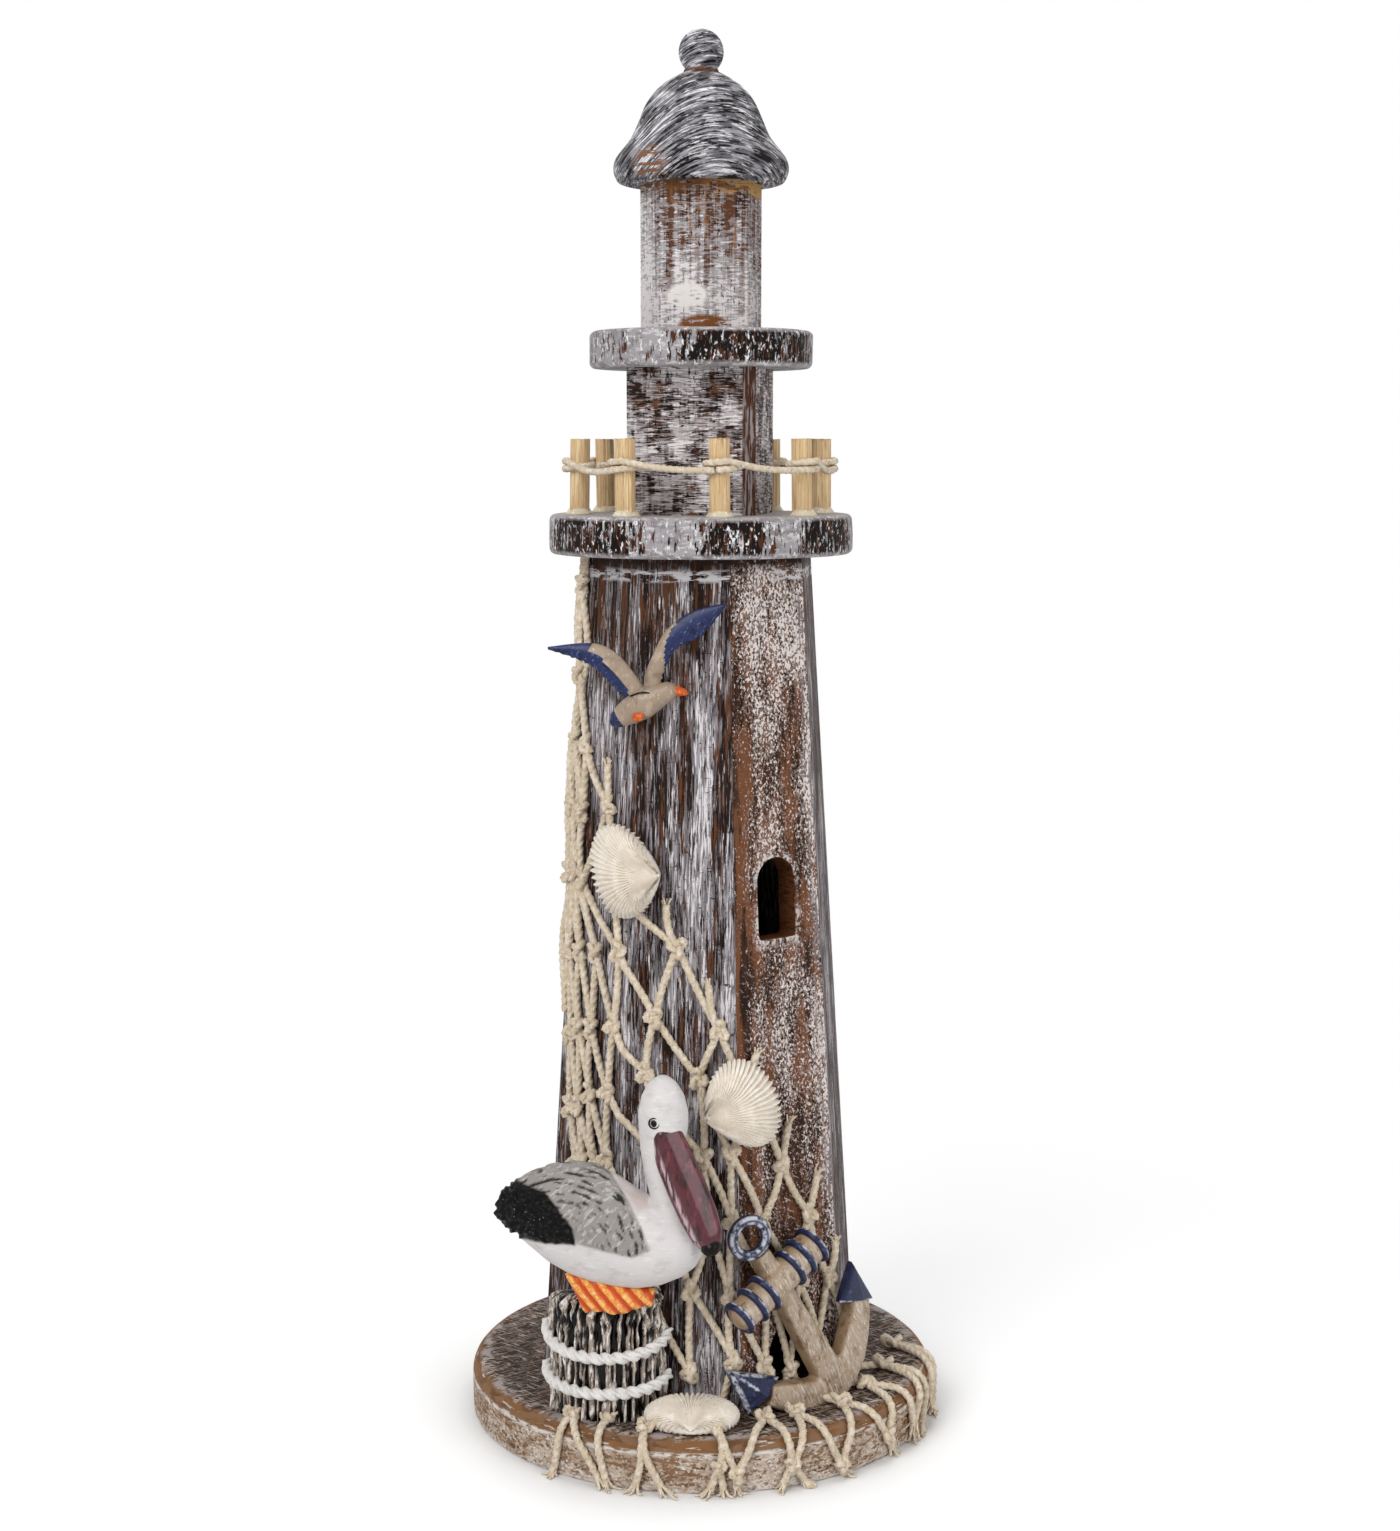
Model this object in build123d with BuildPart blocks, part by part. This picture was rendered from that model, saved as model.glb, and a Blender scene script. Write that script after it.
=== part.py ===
from build123d import *
import os
from math import atan, atan2, cos, degrees, hypot, pi, radians, sin, tan

os.makedirs("parts", exist_ok=True)

# Wooden lighthouse ornament, 380 mm tall, in millimetres.
# The origin is the centre of the base's underside, +Z is up and the decorated front faces -Y.
# An azimuth is a turn to the right, in degrees, from the middle of the front stave.

# Base disc
BASE_RADIUS = 65.0
BASE_HEIGHT = 14.3
SHOULDER_WIDTH = 4.0
SHOULDER_DROP = 3.8
BASE_FOOT_EASE = 1.0

# Tower of eight mitred staves
STAVE_COUNT = 8
STAVE_THICKNESS = 7.5
TOWER_HEIGHT = 226.9
TOWER_FOOT_FLATS = 84.0
TOWER_HEAD_FLATS = 57.6
FRONT_TURN = -8.6
WINDOW_WIDTH = 13.0
WINDOW_HEIGHT = 22.0
WINDOW_SILL = 125.5
WINDOW_CORNER = 1.5
DOOR_WIDTH = 15.0
DOOR_HEIGHT = 20.3

# Turned and sawn blocks stacked on the tower
GALLERY_RADIUS = 41.3
GALLERY_THICKNESS = 10.7
WATCH_SIDE = 34.8
WATCH_CHAMFER = 2.5
WATCH_HEIGHT = 39.0
WATCH_TURN = -10.6
LANTERN_DISC_RADIUS = 30.2
LANTERN_DISC_THICKNESS = 9.9
DISC_EASE = 1.6
EASE_CHORDS = 3
LANTERN_RADIUS = 16.3
LANTERN_SIDES = 8
LANTERN_HEIGHT = 38.8
LANTERN_TURN = -41.0
CAP_HEIGHT = 29.0
CAP_SEAT_RADIUS = 20.0
CAP_RIM_RADIUS = 23.5
CAP_RIM_RISE = 4.4
CAP_LIP_RADIUS = 21.4
CAP_LIP_RISE = 8.7
CAP_COVE_RADIUS = 18.9
CAP_COVE_RISE = 11.6
CAP_WAIST_RADIUS = 17.0
CAP_WAIST_RISE = 14.7
CAP_DOME_RADIUS = 14.2
CAP_DOME_RISE = 21.6
CAP_CROWN_RADIUS = 5.2
CAP_CHORDS = 4
BALL_RADIUS = 6.0
BALL_SIDES = 16
COLLAR_RADIUS = 4.7
COLLAR_HEIGHT = 1.0
BALL_RISE = 5.4
DOWEL_DIAMETER = 8.0
DOWEL_BITE = 10.0
GALLERY_BITE = 7.5
TENON_DIAMETER = 5.0
TENON_LENGTH = 9.0
GLUE_GAP = 0.1

# Bamboo rail with its cord
POST_COUNT = 8
POST_DIAMETER = 5.5
POST_HEIGHT = 20.3
POST_RING_RADIUS = 33.3
POST_START = 8.5
RAIL_CORD_DIAMETER = 2.0
RAIL_CORD_SIDES = 4
RAIL_CORD_RISE = 13.3
RAIL_WRAP_PITCH = 3.2
RAIL_CORD_CLEARANCE = 0.15
RAIL_GAP_STEP = 1.0

# Fishing net of cotton twine, hung by one corner from under the gallery
TWINE_DIAMETER = 2.3
TWINE_CLEARANCE = 0.3
KNOT_DIAMETER = 5.0
PANEL_CLEARANCE = 0.05
# Each row holds its height above the base and its knots' azimuths, from the free right edge to the left.
NET_ROWS = [
    (177, [-57, -64]),
    (159, [-37, -57, -64]),
    (140, [-31, -55, -61, -65]),
    (122, [-1, -26, -42, -54, -62]),
    (102, [16, -10, -28, -43, -52, -58]),
    (86, [26, 8, -13, -30, -42, -50, -56]),
    (66, [42, 20, 10, -9, -29, -37, -45, -50]),
    (50, [54, 32, 20, 12, -5, -14, -21, -32]),
    (31, [62, 48, 34, 19, 5, -10, -19, -31]),
    (11, [65, 56, 43, 32, 20, 5, -8, -20]),
    (1.5, [66, 61, 50, 38, 27, 13, -2, -14]),
]
NET_HANGING_AZIMUTH = -64
# Each strand over the rim: azimuth and distance in from the rim where it starts, then azimuth at the side.
FRINGE = [
    (-27, 3, -27),
    (-24, 3, -15),
    (-16, 3, -13),
    (-9, 4, -5),
    (-4, 7, 0),
    (9, 7, 13),
    (15, 7, 17),
    (27, 9.5, 18),
    (27, 9.5, 30),
    (35, 11, 29),
    (35, 11, 42),
    (51, 9, 44),
    (51, 9, 57),
    (64, 12, 58),
    (67, 12, 70),
    (77, 12, 73),
    (81, 15, 77),
    (89, 12, 82),
    (98, 11, 85),
]
FRINGE_FLOOR_GAP = 0.8
RIM_CLEARANCE = 0.6

# Cockle shells, thin ribbed bowls
SHELL_RIBS = 16
SHELL_RIB_DEPTH = 0.022
SHELL_RIB_START = 0.62
SHELL_WALL = 1.2
SHELL_STAND_OFF = 0.4
SHELL_FOCUS = 0.16
SHELL_HINGE_WIDTH = 0.72
# Steps of the bowl from margin to crown: share of its height, and of its outline.
SHELL_STEPS = [(0.0, 1.0), (0.5, 0.9), (0.82, 0.66), (1.0, 0.3)]
# Each shell on the net: azimuth, height on the tower, turn, hinge across and up, length, width and height.
NET_SHELLS = {
    "shell_upper": (-18.0, 144.0, 167.0, 10.0, -2.0, 21.0, 25.5, 8.5),
    "shell_middle": (22.5, 84.5, 32.0, -9.0, -5.0, 21.0, 24.0, 8.5),
}
SHELL_FOOT_LENGTH = 16.0
SHELL_FOOT_WIDTH = 22.0
SHELL_FOOT_HEIGHT = 6.5
SHELL_FOOT_TILT = 24.0
SHELL_FOOT_AZIMUTH = 6.0
SHELL_FOOT_REACH = 18.5

# Gull, whose wings' points lie across and up from the body's middle: root, bow and tip of the
# upper edge, then bow and root of the lower edge
GULL_ACROSS = -9.0
GULL_DROP = 37.5
GULL_LEFT_WING = [(-0.5, 1.2), (-8.6, 11.9), (-26.5, 13.4), (-13.2, 9.2), (-3.5, -1.8)]
GULL_RIGHT_WING = [(0.0, 1.2), (5.2, 15.8), (19.6, 24.6), (9.6, 15.2), (4.0, 1.2)]
# Outline of the body from tail to beak: shares of its half length and of its radius.
GULL_OUTLINE = [(-1.0, 0.0), (-0.8, 0.45), (-0.4, 0.88), (0.0, 1.0), (0.35, 0.8), (0.75, 0.42), (1.0, 0.0)]
GULL_AXIS_TILT = 29.0
GULL_WING_THICKNESS = 2.2
GULL_WING_STAND_OFF = 0.9
GULL_BODY_RADIUS = 4.4
GULL_BODY_LENGTH = 20.0

# Anchor, drawn from its crown with the shank upright
ANCHOR_CROWN_ASIDE = 9.0
ANCHOR_THICKNESS = 6.0
ANCHOR_TILT = 29.3
ANCHOR_SHANK_LENGTH = 50.0
ANCHOR_SHANK_FOOT = 7.5
ANCHOR_SHANK_HEAD = 5.0
ANCHOR_STOCK_RISE = 38.2
ANCHOR_STOCK_LENGTH = 35.0
ANCHOR_STOCK_RADIUS = 3.4
ANCHOR_STOCK_SIDES = 16
ANCHOR_BAND_COUNT = 6
ANCHOR_BAND_WIDTH = 1.7
ANCHOR_BAND_HEIGHT = 0.7
ANCHOR_RING_RADIUS = 4.0
ANCHOR_RING_WIRE = 1.3
ANCHOR_RING_SIDES = 6
ANCHOR_ARM_BELLY = (12.5, 3.9)
ANCHOR_ARM_TIP = (23.5, 14.5)
ANCHOR_ARM_THROAT = (19.5, 18.5)
ANCHOR_ARM_CROTCH = (10.0, 9.5)
ANCHOR_FLUKE = [(25.6, 24.5), (16.4, 19.2), (24.8, 11.2)]
ANCHOR_CROWN_DROP = 3.2

# Pelican and its piling
PILING_HALF_WIDTH = 14.5
PILING_RIM_INSET = 9.7
PILING_HEIGHT = 32.5
PILING_RIDGES = 13
PILING_RIDGE_DEPTH = 0.6
PILING_ROPE_DIAMETER = 3.4
# Each rope's rise on the piling's back and how far it droops forward, in degrees.
PILING_ROPES = [(11.5, 14.0), (22.0, 16.0)]
WEB_FOOT = [(-9.0, 41.0), (13.5, 39.5), (14.0, 35.0), (5.0, 31.5), (-1.5, 31.5)]
WEB_FOOT_BACK = 2.0
PELICAN_ASIDE = -18.5
PELICAN_STAND_OFF = 0.2
OVAL_SIDES = 18

# Heights and sizes worked out from the dimensions above
TOWER_TOP = BASE_HEIGHT + TOWER_HEIGHT
GALLERY_TOP = TOWER_TOP + GALLERY_THICKNESS
WATCH_TOP = GALLERY_TOP + WATCH_HEIGHT
LANTERN_FLOOR = WATCH_TOP + LANTERN_DISC_THICKNESS
LANTERN_TOP = LANTERN_FLOOR + LANTERN_HEIGHT
CAP_TOP = LANTERN_TOP + CAP_HEIGHT
STAVE_STEP = 360 / STAVE_COUNT
TOWER_LEAN = degrees(atan((TOWER_FOOT_FLATS - TOWER_HEAD_FLATS) / 2 / TOWER_HEIGHT))
NET_OUT = TWINE_CLEARANCE + TWINE_DIAMETER


def outward(azimuth):
    """Unit vector that points away from the axis at an azimuth."""
    angle = radians(FRONT_TURN + azimuth)
    return Vector(sin(angle), -cos(angle), 0)


def sideways(azimuth):
    """Unit vector to the right of someone who looks at the tower at an azimuth."""
    angle = radians(FRONT_TURN + azimuth)
    return Vector(cos(angle), sin(angle), 0)


def half_flats(height):
    """Distance from the axis to a stave's outer face, at a height above the base."""
    share = height / TOWER_HEIGHT
    return (TOWER_FOOT_FLATS + (TOWER_HEAD_FLATS - TOWER_FOOT_FLATS) * share) / 2


def half_face(height):
    """Half the width of a stave's outer face, at a height above the base."""
    return half_flats(height) * tan(radians(STAVE_STEP / 2))


def face_plane(azimuth, stand_off=0.0):
    """Plane on a stave's leaning outer face, X to the right and Y up it from the base."""
    lean = radians(TOWER_LEAN)
    normal = outward(azimuth) * cos(lean) + Vector(0, 0, sin(lean))
    foot = outward(azimuth) * (TOWER_FOOT_FLATS / 2) + Vector(0, 0, BASE_HEIGHT)
    return Plane(origin=foot + normal * stand_off, x_dir=sideways(azimuth), z_dir=normal)


def tangent_plane(azimuth, height, stand_off):
    """Plane that touches the tower's nearest edge or face at an azimuth, pushed off the net."""
    corner = (round(azimuth / STAVE_STEP - 0.5) + 0.5) * STAVE_STEP
    reach = half_flats(height) / cos(radians(STAVE_STEP / 2)) * cos(radians(azimuth - corner))
    lean = radians(TOWER_LEAN)
    normal = outward(azimuth) * cos(lean) + Vector(0, 0, sin(lean))
    touch = outward(azimuth) * reach + Vector(0, 0, BASE_HEIGHT + height)
    return Plane(origin=touch + normal * stand_off, x_dir=sideways(azimuth), z_dir=normal)


def eased_edge(start, corner, end):
    """Points of a rounded edge of a turned profile, as short chords about its sharp corner."""
    centre = (start[0] + end[0] - corner[0], start[1] + end[1] - corner[1])
    points = []
    for k in range(EASE_CHORDS + 1):
        turn = radians(90 * k / EASE_CHORDS)
        across = (start[0] - centre[0]) * cos(turn) + (end[0] - centre[0]) * sin(turn)
        rise = (start[1] - centre[1]) * cos(turn) + (end[1] - centre[1]) * sin(turn)
        points.append((centre[0] + across, centre[1] + rise))
    return points


def skin(rings):
    """Closed solid with flat facets between each ring of points and the next."""
    count = len(rings[0])
    faces = [Face(Wire.make_polygon(rings[0])), Face(Wire.make_polygon(rings[-1]))]
    for lower, upper in zip(rings, rings[1:]):
        for k in range(count):
            after = (k + 1) % count
            faces.append(Face(Wire.make_polygon([lower[k], lower[after], upper[after]])))
            faces.append(Face(Wire.make_polygon([lower[k], upper[after], upper[k]])))
    return Solid(Shell(faces))


def oval(plane, half_width, half_height):
    """Ring of points round an ellipse on a plane."""
    turns = [2 * pi * k / OVAL_SIDES for k in range(OVAL_SIDES)]
    return [plane.from_local_coords((half_width * cos(t), half_height * sin(t), 0)) for t in turns]


def save(piece, name):
    """Label a finished piece and write it under its node's name."""
    piece.part.label = name
    export_step(piece.part, f"parts/{name}.step")


# Base disc, turned with a wide eased shoulder
with BuildPart() as base_disc:
    with BuildSketch(Plane.XZ):
        with BuildLine():
            shoulder_top = (BASE_RADIUS - SHOULDER_WIDTH, BASE_HEIGHT)
            shoulder_foot = (BASE_RADIUS, BASE_HEIGHT - SHOULDER_DROP)
            foot_side = (BASE_RADIUS, BASE_FOOT_EASE)
            foot_ease = (BASE_RADIUS - BASE_FOOT_EASE, 0)
            shoulder = eased_edge(shoulder_top, (BASE_RADIUS, BASE_HEIGHT), shoulder_foot)
            Polyline((0, 0), (0, BASE_HEIGHT), *shoulder, foot_side, foot_ease, close=True)
        make_face()
    revolve(axis=Axis.Z)
save(base_disc, "base_disc")

# Tower staves, planks bevelled along both edges so that eight close into a tapering octagon
STAVES = [
    "stave_front",
    "stave_front_right",
    "stave_right",
    "stave_back_right",
    "stave_back",
    "stave_back_left",
    "stave_left",
    "stave_front_left",
]
OPENING_STAVE = "stave_front_right"
for index, stave_name in enumerate(STAVES):
    stave_azimuth = index * STAVE_STEP
    with BuildPart() as stave:
        stave_side = Plane(
            origin=(0, 0, BASE_HEIGHT),
            x_dir=outward(stave_azimuth),
            z_dir=-sideways(stave_azimuth),
        )
        with BuildSketch(stave_side):
            foot = half_flats(0)
            head = half_flats(TOWER_HEIGHT)
            Polygon(
                (foot - STAVE_THICKNESS, 0),
                (foot, 0),
                (head, TOWER_HEIGHT),
                (head - STAVE_THICKNESS, TOWER_HEIGHT),
                align=None,
            )
        extrude(amount=TOWER_FOOT_FLATS / 2, both=True)
        for side in (-1, 1):
            mitre = stave_azimuth + side * STAVE_STEP / 2
            split(bisect_by=Plane(origin=(0, 0, 0), z_dir=sideways(mitre) * side), keep=Keep.BOTTOM)
        if stave_name == OPENING_STAVE:
            with BuildSketch(face_plane(stave_azimuth)) as openings:
                with Locations((0, WINDOW_SILL)):
                    Rectangle(WINDOW_WIDTH, WINDOW_HEIGHT - WINDOW_WIDTH / 2, align=(Align.CENTER, Align.MIN))
                fillet(openings.vertices().group_by(Axis.Y)[0], WINDOW_CORNER)
                with Locations((0, WINDOW_SILL + WINDOW_HEIGHT - WINDOW_WIDTH / 2)):
                    Circle(WINDOW_WIDTH / 2)
                with Locations((0, -STAVE_THICKNESS)):
                    Rectangle(
                        DOOR_WIDTH,
                        STAVE_THICKNESS + DOOR_HEIGHT - DOOR_WIDTH / 2,
                        align=(Align.CENTER, Align.MIN),
                    )
                with Locations((0, DOOR_HEIGHT - DOOR_WIDTH / 2)):
                    Circle(DOOR_WIDTH / 2)
            extrude(amount=2 * STAVE_THICKNESS, both=True, mode=Mode.SUBTRACT)
    save(stave, stave_name)

DOWEL_HOLE = DOWEL_DIAMETER / 2 + GLUE_GAP


def turned_disc_profile(radius, floor, ceiling):
    """Half outline of a turned disc with both edges eased."""
    flat = radius - DISC_EASE
    upper = eased_edge((flat, ceiling), (radius, ceiling), (radius, ceiling - DISC_EASE))
    lower = eased_edge((radius, floor + DISC_EASE), (radius, floor), (flat, floor))
    return [(0, floor), (0, ceiling), *upper, *lower]


# Gallery floor, a turned disc with eased edges and a socket for the dowel above it
with BuildPart() as gallery_disc:
    with BuildSketch(Plane.XZ):
        with BuildLine():
            Polyline(*turned_disc_profile(GALLERY_RADIUS, TOWER_TOP, GALLERY_TOP), close=True)
        make_face()
    revolve(axis=Axis.Z)
    with Locations((0, 0, GALLERY_TOP)):
        Hole(DOWEL_HOLE, depth=GALLERY_BITE + GLUE_GAP)
save(gallery_disc, "gallery_disc")

# Watch room, a square block with chamfered corners
with BuildPart() as watch_room:
    with BuildSketch(Plane.XY.offset(GALLERY_TOP)) as watch_plan:
        Rectangle(WATCH_SIDE, WATCH_SIDE, rotation=WATCH_TURN)
        chamfer(watch_plan.vertices(), WATCH_CHAMFER)
    extrude(amount=WATCH_HEIGHT)
    with Locations((0, 0, WATCH_TOP)):
        Hole(DOWEL_HOLE, depth=DOWEL_BITE + GLUE_GAP)
    with Locations(Location((0, 0, GALLERY_TOP), (180, 0, 0))):
        Hole(DOWEL_HOLE, depth=DOWEL_BITE + GLUE_GAP)
save(watch_room, "watch_room")

# Lantern floor, a smaller turned disc that the upper dowel passes through
with BuildPart() as lantern_disc:
    with BuildSketch(Plane.XZ):
        with BuildLine():
            Polyline(*turned_disc_profile(LANTERN_DISC_RADIUS, WATCH_TOP, LANTERN_FLOOR), close=True)
        make_face()
    revolve(axis=Axis.Z)
    with Locations((0, 0, LANTERN_FLOOR)):
        Hole(DOWEL_HOLE)
save(lantern_disc, "lantern_disc")

# Lantern room, an eight-sided block
with BuildPart() as lantern_room:
    with BuildSketch(Plane.XY.offset(LANTERN_FLOOR)):
        RegularPolygon(LANTERN_RADIUS, LANTERN_SIDES, rotation=LANTERN_TURN - 90)
    extrude(amount=LANTERN_HEIGHT)
    with Locations((0, 0, LANTERN_TOP)):
        Hole(DOWEL_HOLE, depth=DOWEL_BITE + GLUE_GAP)
    with Locations(Location((0, 0, LANTERN_FLOOR), (180, 0, 0))):
        Hole(DOWEL_HOLE, depth=DOWEL_BITE + GLUE_GAP)
save(lantern_room, "lantern_room")

# Bell cap, turned with a rounded rim, a cove above it and a dome
with BuildPart() as bell_cap:
    with BuildSketch(Plane.XZ):
        with BuildLine():
            seat = (CAP_SEAT_RADIUS, LANTERN_TOP)
            rim = (CAP_RIM_RADIUS, LANTERN_TOP + CAP_RIM_RISE)
            lip = (CAP_LIP_RADIUS, LANTERN_TOP + CAP_LIP_RISE)
            cove = (CAP_COVE_RADIUS, LANTERN_TOP + CAP_COVE_RISE)
            waist = (CAP_WAIST_RADIUS, LANTERN_TOP + CAP_WAIST_RISE)
            dome = (CAP_DOME_RADIUS, LANTERN_TOP + CAP_DOME_RISE)
            crown = (CAP_CROWN_RADIUS, CAP_TOP)
            bell = [
                ThreePointArc(seat, rim, lip, mode=Mode.PRIVATE),
                ThreePointArc(lip, cove, waist, mode=Mode.PRIVATE),
                ThreePointArc(waist, dome, crown, mode=Mode.PRIVATE),
            ]
            outline = [arc @ (k / CAP_CHORDS) for arc in bell for k in range(CAP_CHORDS)]
            Polyline((0, CAP_TOP), (0, LANTERN_TOP), *outline, crown, close=True)
        make_face()
    revolve(axis=Axis.Z)
    with Locations((0, 0, CAP_TOP)):
        Hole(TENON_DIAMETER / 2 + GLUE_GAP, depth=TENON_LENGTH + GLUE_GAP)
    with Locations(Location((0, 0, LANTERN_TOP), (180, 0, 0))):
        Hole(DOWEL_HOLE, depth=DOWEL_BITE + GLUE_GAP)
save(bell_cap, "bell_cap")

# Ball finial, turned in one with its collar and the tenon that is glued into the cap
with BuildPart() as ball_finial:
    ball_centre = CAP_TOP + BALL_RISE
    with BuildSketch(Plane.XZ):
        with Locations((0, ball_centre)):
            RegularPolygon(BALL_RADIUS, BALL_SIDES)
        with Locations((0, CAP_TOP)):
            Rectangle(2 * COLLAR_RADIUS, COLLAR_HEIGHT, align=(Align.CENTER, Align.MIN))
        with Locations((0, CAP_TOP)):
            Rectangle(TENON_DIAMETER, TENON_LENGTH, align=(Align.CENTER, Align.MAX))
        with Locations((0, CAP_TOP)):
            Rectangle(COLLAR_RADIUS, BALL_RISE, align=(Align.CENTER, Align.MIN))
        half_turned = 2 * CAP_HEIGHT
        with Locations((0, CAP_TOP)):
            Rectangle(half_turned, 2 * half_turned, align=(Align.MAX, Align.CENTER), mode=Mode.SUBTRACT)
    revolve(axis=Axis.Z)
save(ball_finial, "ball_finial")

# Dowels that pin the stacked blocks together
DOWELS = {
    "gallery_dowel": (GALLERY_TOP - GALLERY_BITE, GALLERY_TOP + DOWEL_BITE),
    "lantern_dowel": (WATCH_TOP - DOWEL_BITE, LANTERN_FLOOR + DOWEL_BITE),
    "cap_dowel": (LANTERN_TOP - DOWEL_BITE, LANTERN_TOP + DOWEL_BITE),
}
for dowel_name, (dowel_foot, dowel_head) in DOWELS.items():
    with BuildPart() as dowel:
        with BuildSketch(Plane.XY.offset(dowel_foot)):
            Circle(DOWEL_DIAMETER / 2)
        extrude(amount=dowel_head - dowel_foot)
    save(dowel, dowel_name)

# Rail posts, lengths of split bamboo glued upright round the gallery
POST_AZIMUTHS = [POST_START - FRONT_TURN + k * 360 / POST_COUNT for k in range(POST_COUNT)]
for index, post_azimuth in enumerate(POST_AZIMUTHS):
    with BuildPart() as post:
        post_foot = outward(post_azimuth) * POST_RING_RADIUS + Vector(0, 0, GALLERY_TOP)
        with BuildSketch(Plane(origin=post_foot)):
            Circle(POST_DIAMETER / 2)
        extrude(amount=POST_HEIGHT)
    save(post, f"rail_post_{index + 1}")

# Rail cord, one unbroken length that takes a full turn round each post
WRAP_RADIUS = (POST_DIAMETER + RAIL_CORD_DIAMETER) / 2 + RAIL_CORD_CLEARANCE
HALF_STEP = 180 / POST_COUNT
WRAP_SWEEP = 360 + 2 * HALF_STEP
WRAP_PARTS = 6


def wrap_point(post_azimuth, share):
    """Point of the cord's centre line, a share of the way through its turn round a post."""
    turn = post_azimuth - HALF_STEP + WRAP_SWEEP * share
    rise = GALLERY_TOP + RAIL_CORD_RISE + RAIL_WRAP_PITCH * WRAP_SWEEP / 360 * (share - 0.5)
    post = outward(post_azimuth) * POST_RING_RADIUS
    return post + outward(turn) * WRAP_RADIUS + Vector(0, 0, rise)


def wrap_heading(post_azimuth, share):
    """Direction of the cord's centre line at that point."""
    turn = post_azimuth - HALF_STEP + WRAP_SWEEP * share
    climb = RAIL_WRAP_PITCH / (2 * pi * WRAP_RADIUS)
    return (sideways(turn) + Vector(0, 0, climb)).normalized()


def biarc_joint(start, start_heading, end, end_heading):
    """Point where two arcs meet that join two headings smoothly."""
    chord = end - start
    both = start_heading + end_heading
    spread = 2 * (1 - start_heading.dot(end_heading))
    along = chord.dot(both)
    reach = (-along + (along**2 + spread * chord.dot(chord)) ** 0.5) / spread
    return (start + end + (start_heading - end_heading) * reach) * 0.5


with BuildPart() as rail_cord:
    with BuildLine() as cord_line:
        for post_azimuth in POST_AZIMUTHS:
            for part in range(WRAP_PARTS):
                begin, finish = part / WRAP_PARTS, (part + 1) / WRAP_PARTS
                arc_start = wrap_point(post_azimuth, begin)
                arc_end = wrap_point(post_azimuth, finish)
                joint = biarc_joint(
                    arc_start,
                    wrap_heading(post_azimuth, begin),
                    arc_end,
                    wrap_heading(post_azimuth, finish),
                )
                first = TangentArc(arc_start, joint, tangent=wrap_heading(post_azimuth, begin))
                TangentArc(joint, arc_end, tangent=first % 1)
            if post_azimuth != POST_AZIMUTHS[-1]:
                Line(wrap_point(post_azimuth, 1), wrap_point(post_azimuth + 360 / POST_COUNT, 0))
    with BuildSketch(Plane(origin=cord_line.wires()[0] @ 0, z_dir=cord_line.wires()[0] % 0)):
        RegularPolygon(RAIL_CORD_DIAMETER / 2, RAIL_CORD_SIDES)
    sweep(path=cord_line.wires()[0])
save(rail_cord, "rail_cord")
print("rail cord length", round(cord_line.wires()[0].length, 1))

# Least gap of the cord to itself, between points at least half a turn apart along it
cord_wire = cord_line.wires()[0]
cord_steps = int(cord_wire.length / RAIL_GAP_STEP)
cord_points = [cord_wire @ (k / cord_steps) for k in range(cord_steps + 1)]
half_turn = int(pi * WRAP_RADIUS / RAIL_GAP_STEP)
nearest = min((p - q).length for k, p in enumerate(cord_points) for q in cord_points[k + half_turn :])
print("rail cord's least gap to itself", round(nearest - RAIL_CORD_DIAMETER, 2))


def unrolled(azimuth, height, face_azimuth):
    """Place of a knot on one stave's face, as if the tower's sides were unrolled on to it."""
    faces_away = round((azimuth - face_azimuth) / STAVE_STEP)
    own = half_flats(height) * tan(radians(azimuth - face_azimuth - faces_away * STAVE_STEP))
    return own + 2 * faces_away * half_face(height), height / cos(radians(TOWER_LEAN))


# Fishing net, a panel of knotted diamonds on each of the three staves that it drapes
with BuildPart() as fishing_net:
    for face_azimuth in (-STAVE_STEP, 0, STAVE_STEP):
        with BuildSketch(face_plane(face_azimuth, TWINE_CLEARANCE)):
            hanging_top = unrolled(NET_HANGING_AZIMUTH, TOWER_HEIGHT - TWINE_DIAMETER, face_azimuth)
            legs = [(hanging_top, unrolled(a, NET_ROWS[0][0], face_azimuth)) for a in NET_ROWS[0][1]]
            for (height, row), (next_height, next_row) in zip(NET_ROWS, NET_ROWS[1:]):
                for index, azimuth in enumerate(row):
                    for below in next_row[index : index + 2]:
                        upper_end = unrolled(azimuth, height, face_azimuth)
                        legs.append((upper_end, unrolled(below, next_height, face_azimuth)))
            for (left, low), (right, high) in legs:
                if min(abs(left), abs(right)) > half_face(0) + KNOT_DIAMETER:
                    continue
                with Locations(((left + right) / 2, (low + high) / 2)):
                    Rectangle(
                        hypot(right - left, high - low),
                        TWINE_DIAMETER,
                        rotation=degrees(atan2(high - low, right - left)),
                    )
            knots = [unrolled(a, height, face_azimuth) for height, row in NET_ROWS[:-1] for a in row]
            with Locations(*knots):
                RegularPolygon(KNOT_DIAMETER / 2, 6)
            slope_length = TOWER_HEIGHT / cos(radians(TOWER_LEAN))
            foot_edge = half_face(0) - PANEL_CLEARANCE
            head_edge = half_face(TOWER_HEIGHT) - PANEL_CLEARANCE
            Polygon(
                (-foot_edge, TWINE_CLEARANCE),
                (foot_edge, TWINE_CLEARANCE),
                (head_edge, slope_length - TWINE_CLEARANCE),
                (-head_edge, slope_length - TWINE_CLEARANCE),
                align=None,
                mode=Mode.INTERSECT,
            )
        extrude(amount=TWINE_DIAMETER)
save(fishing_net, "fishing_net")

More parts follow.
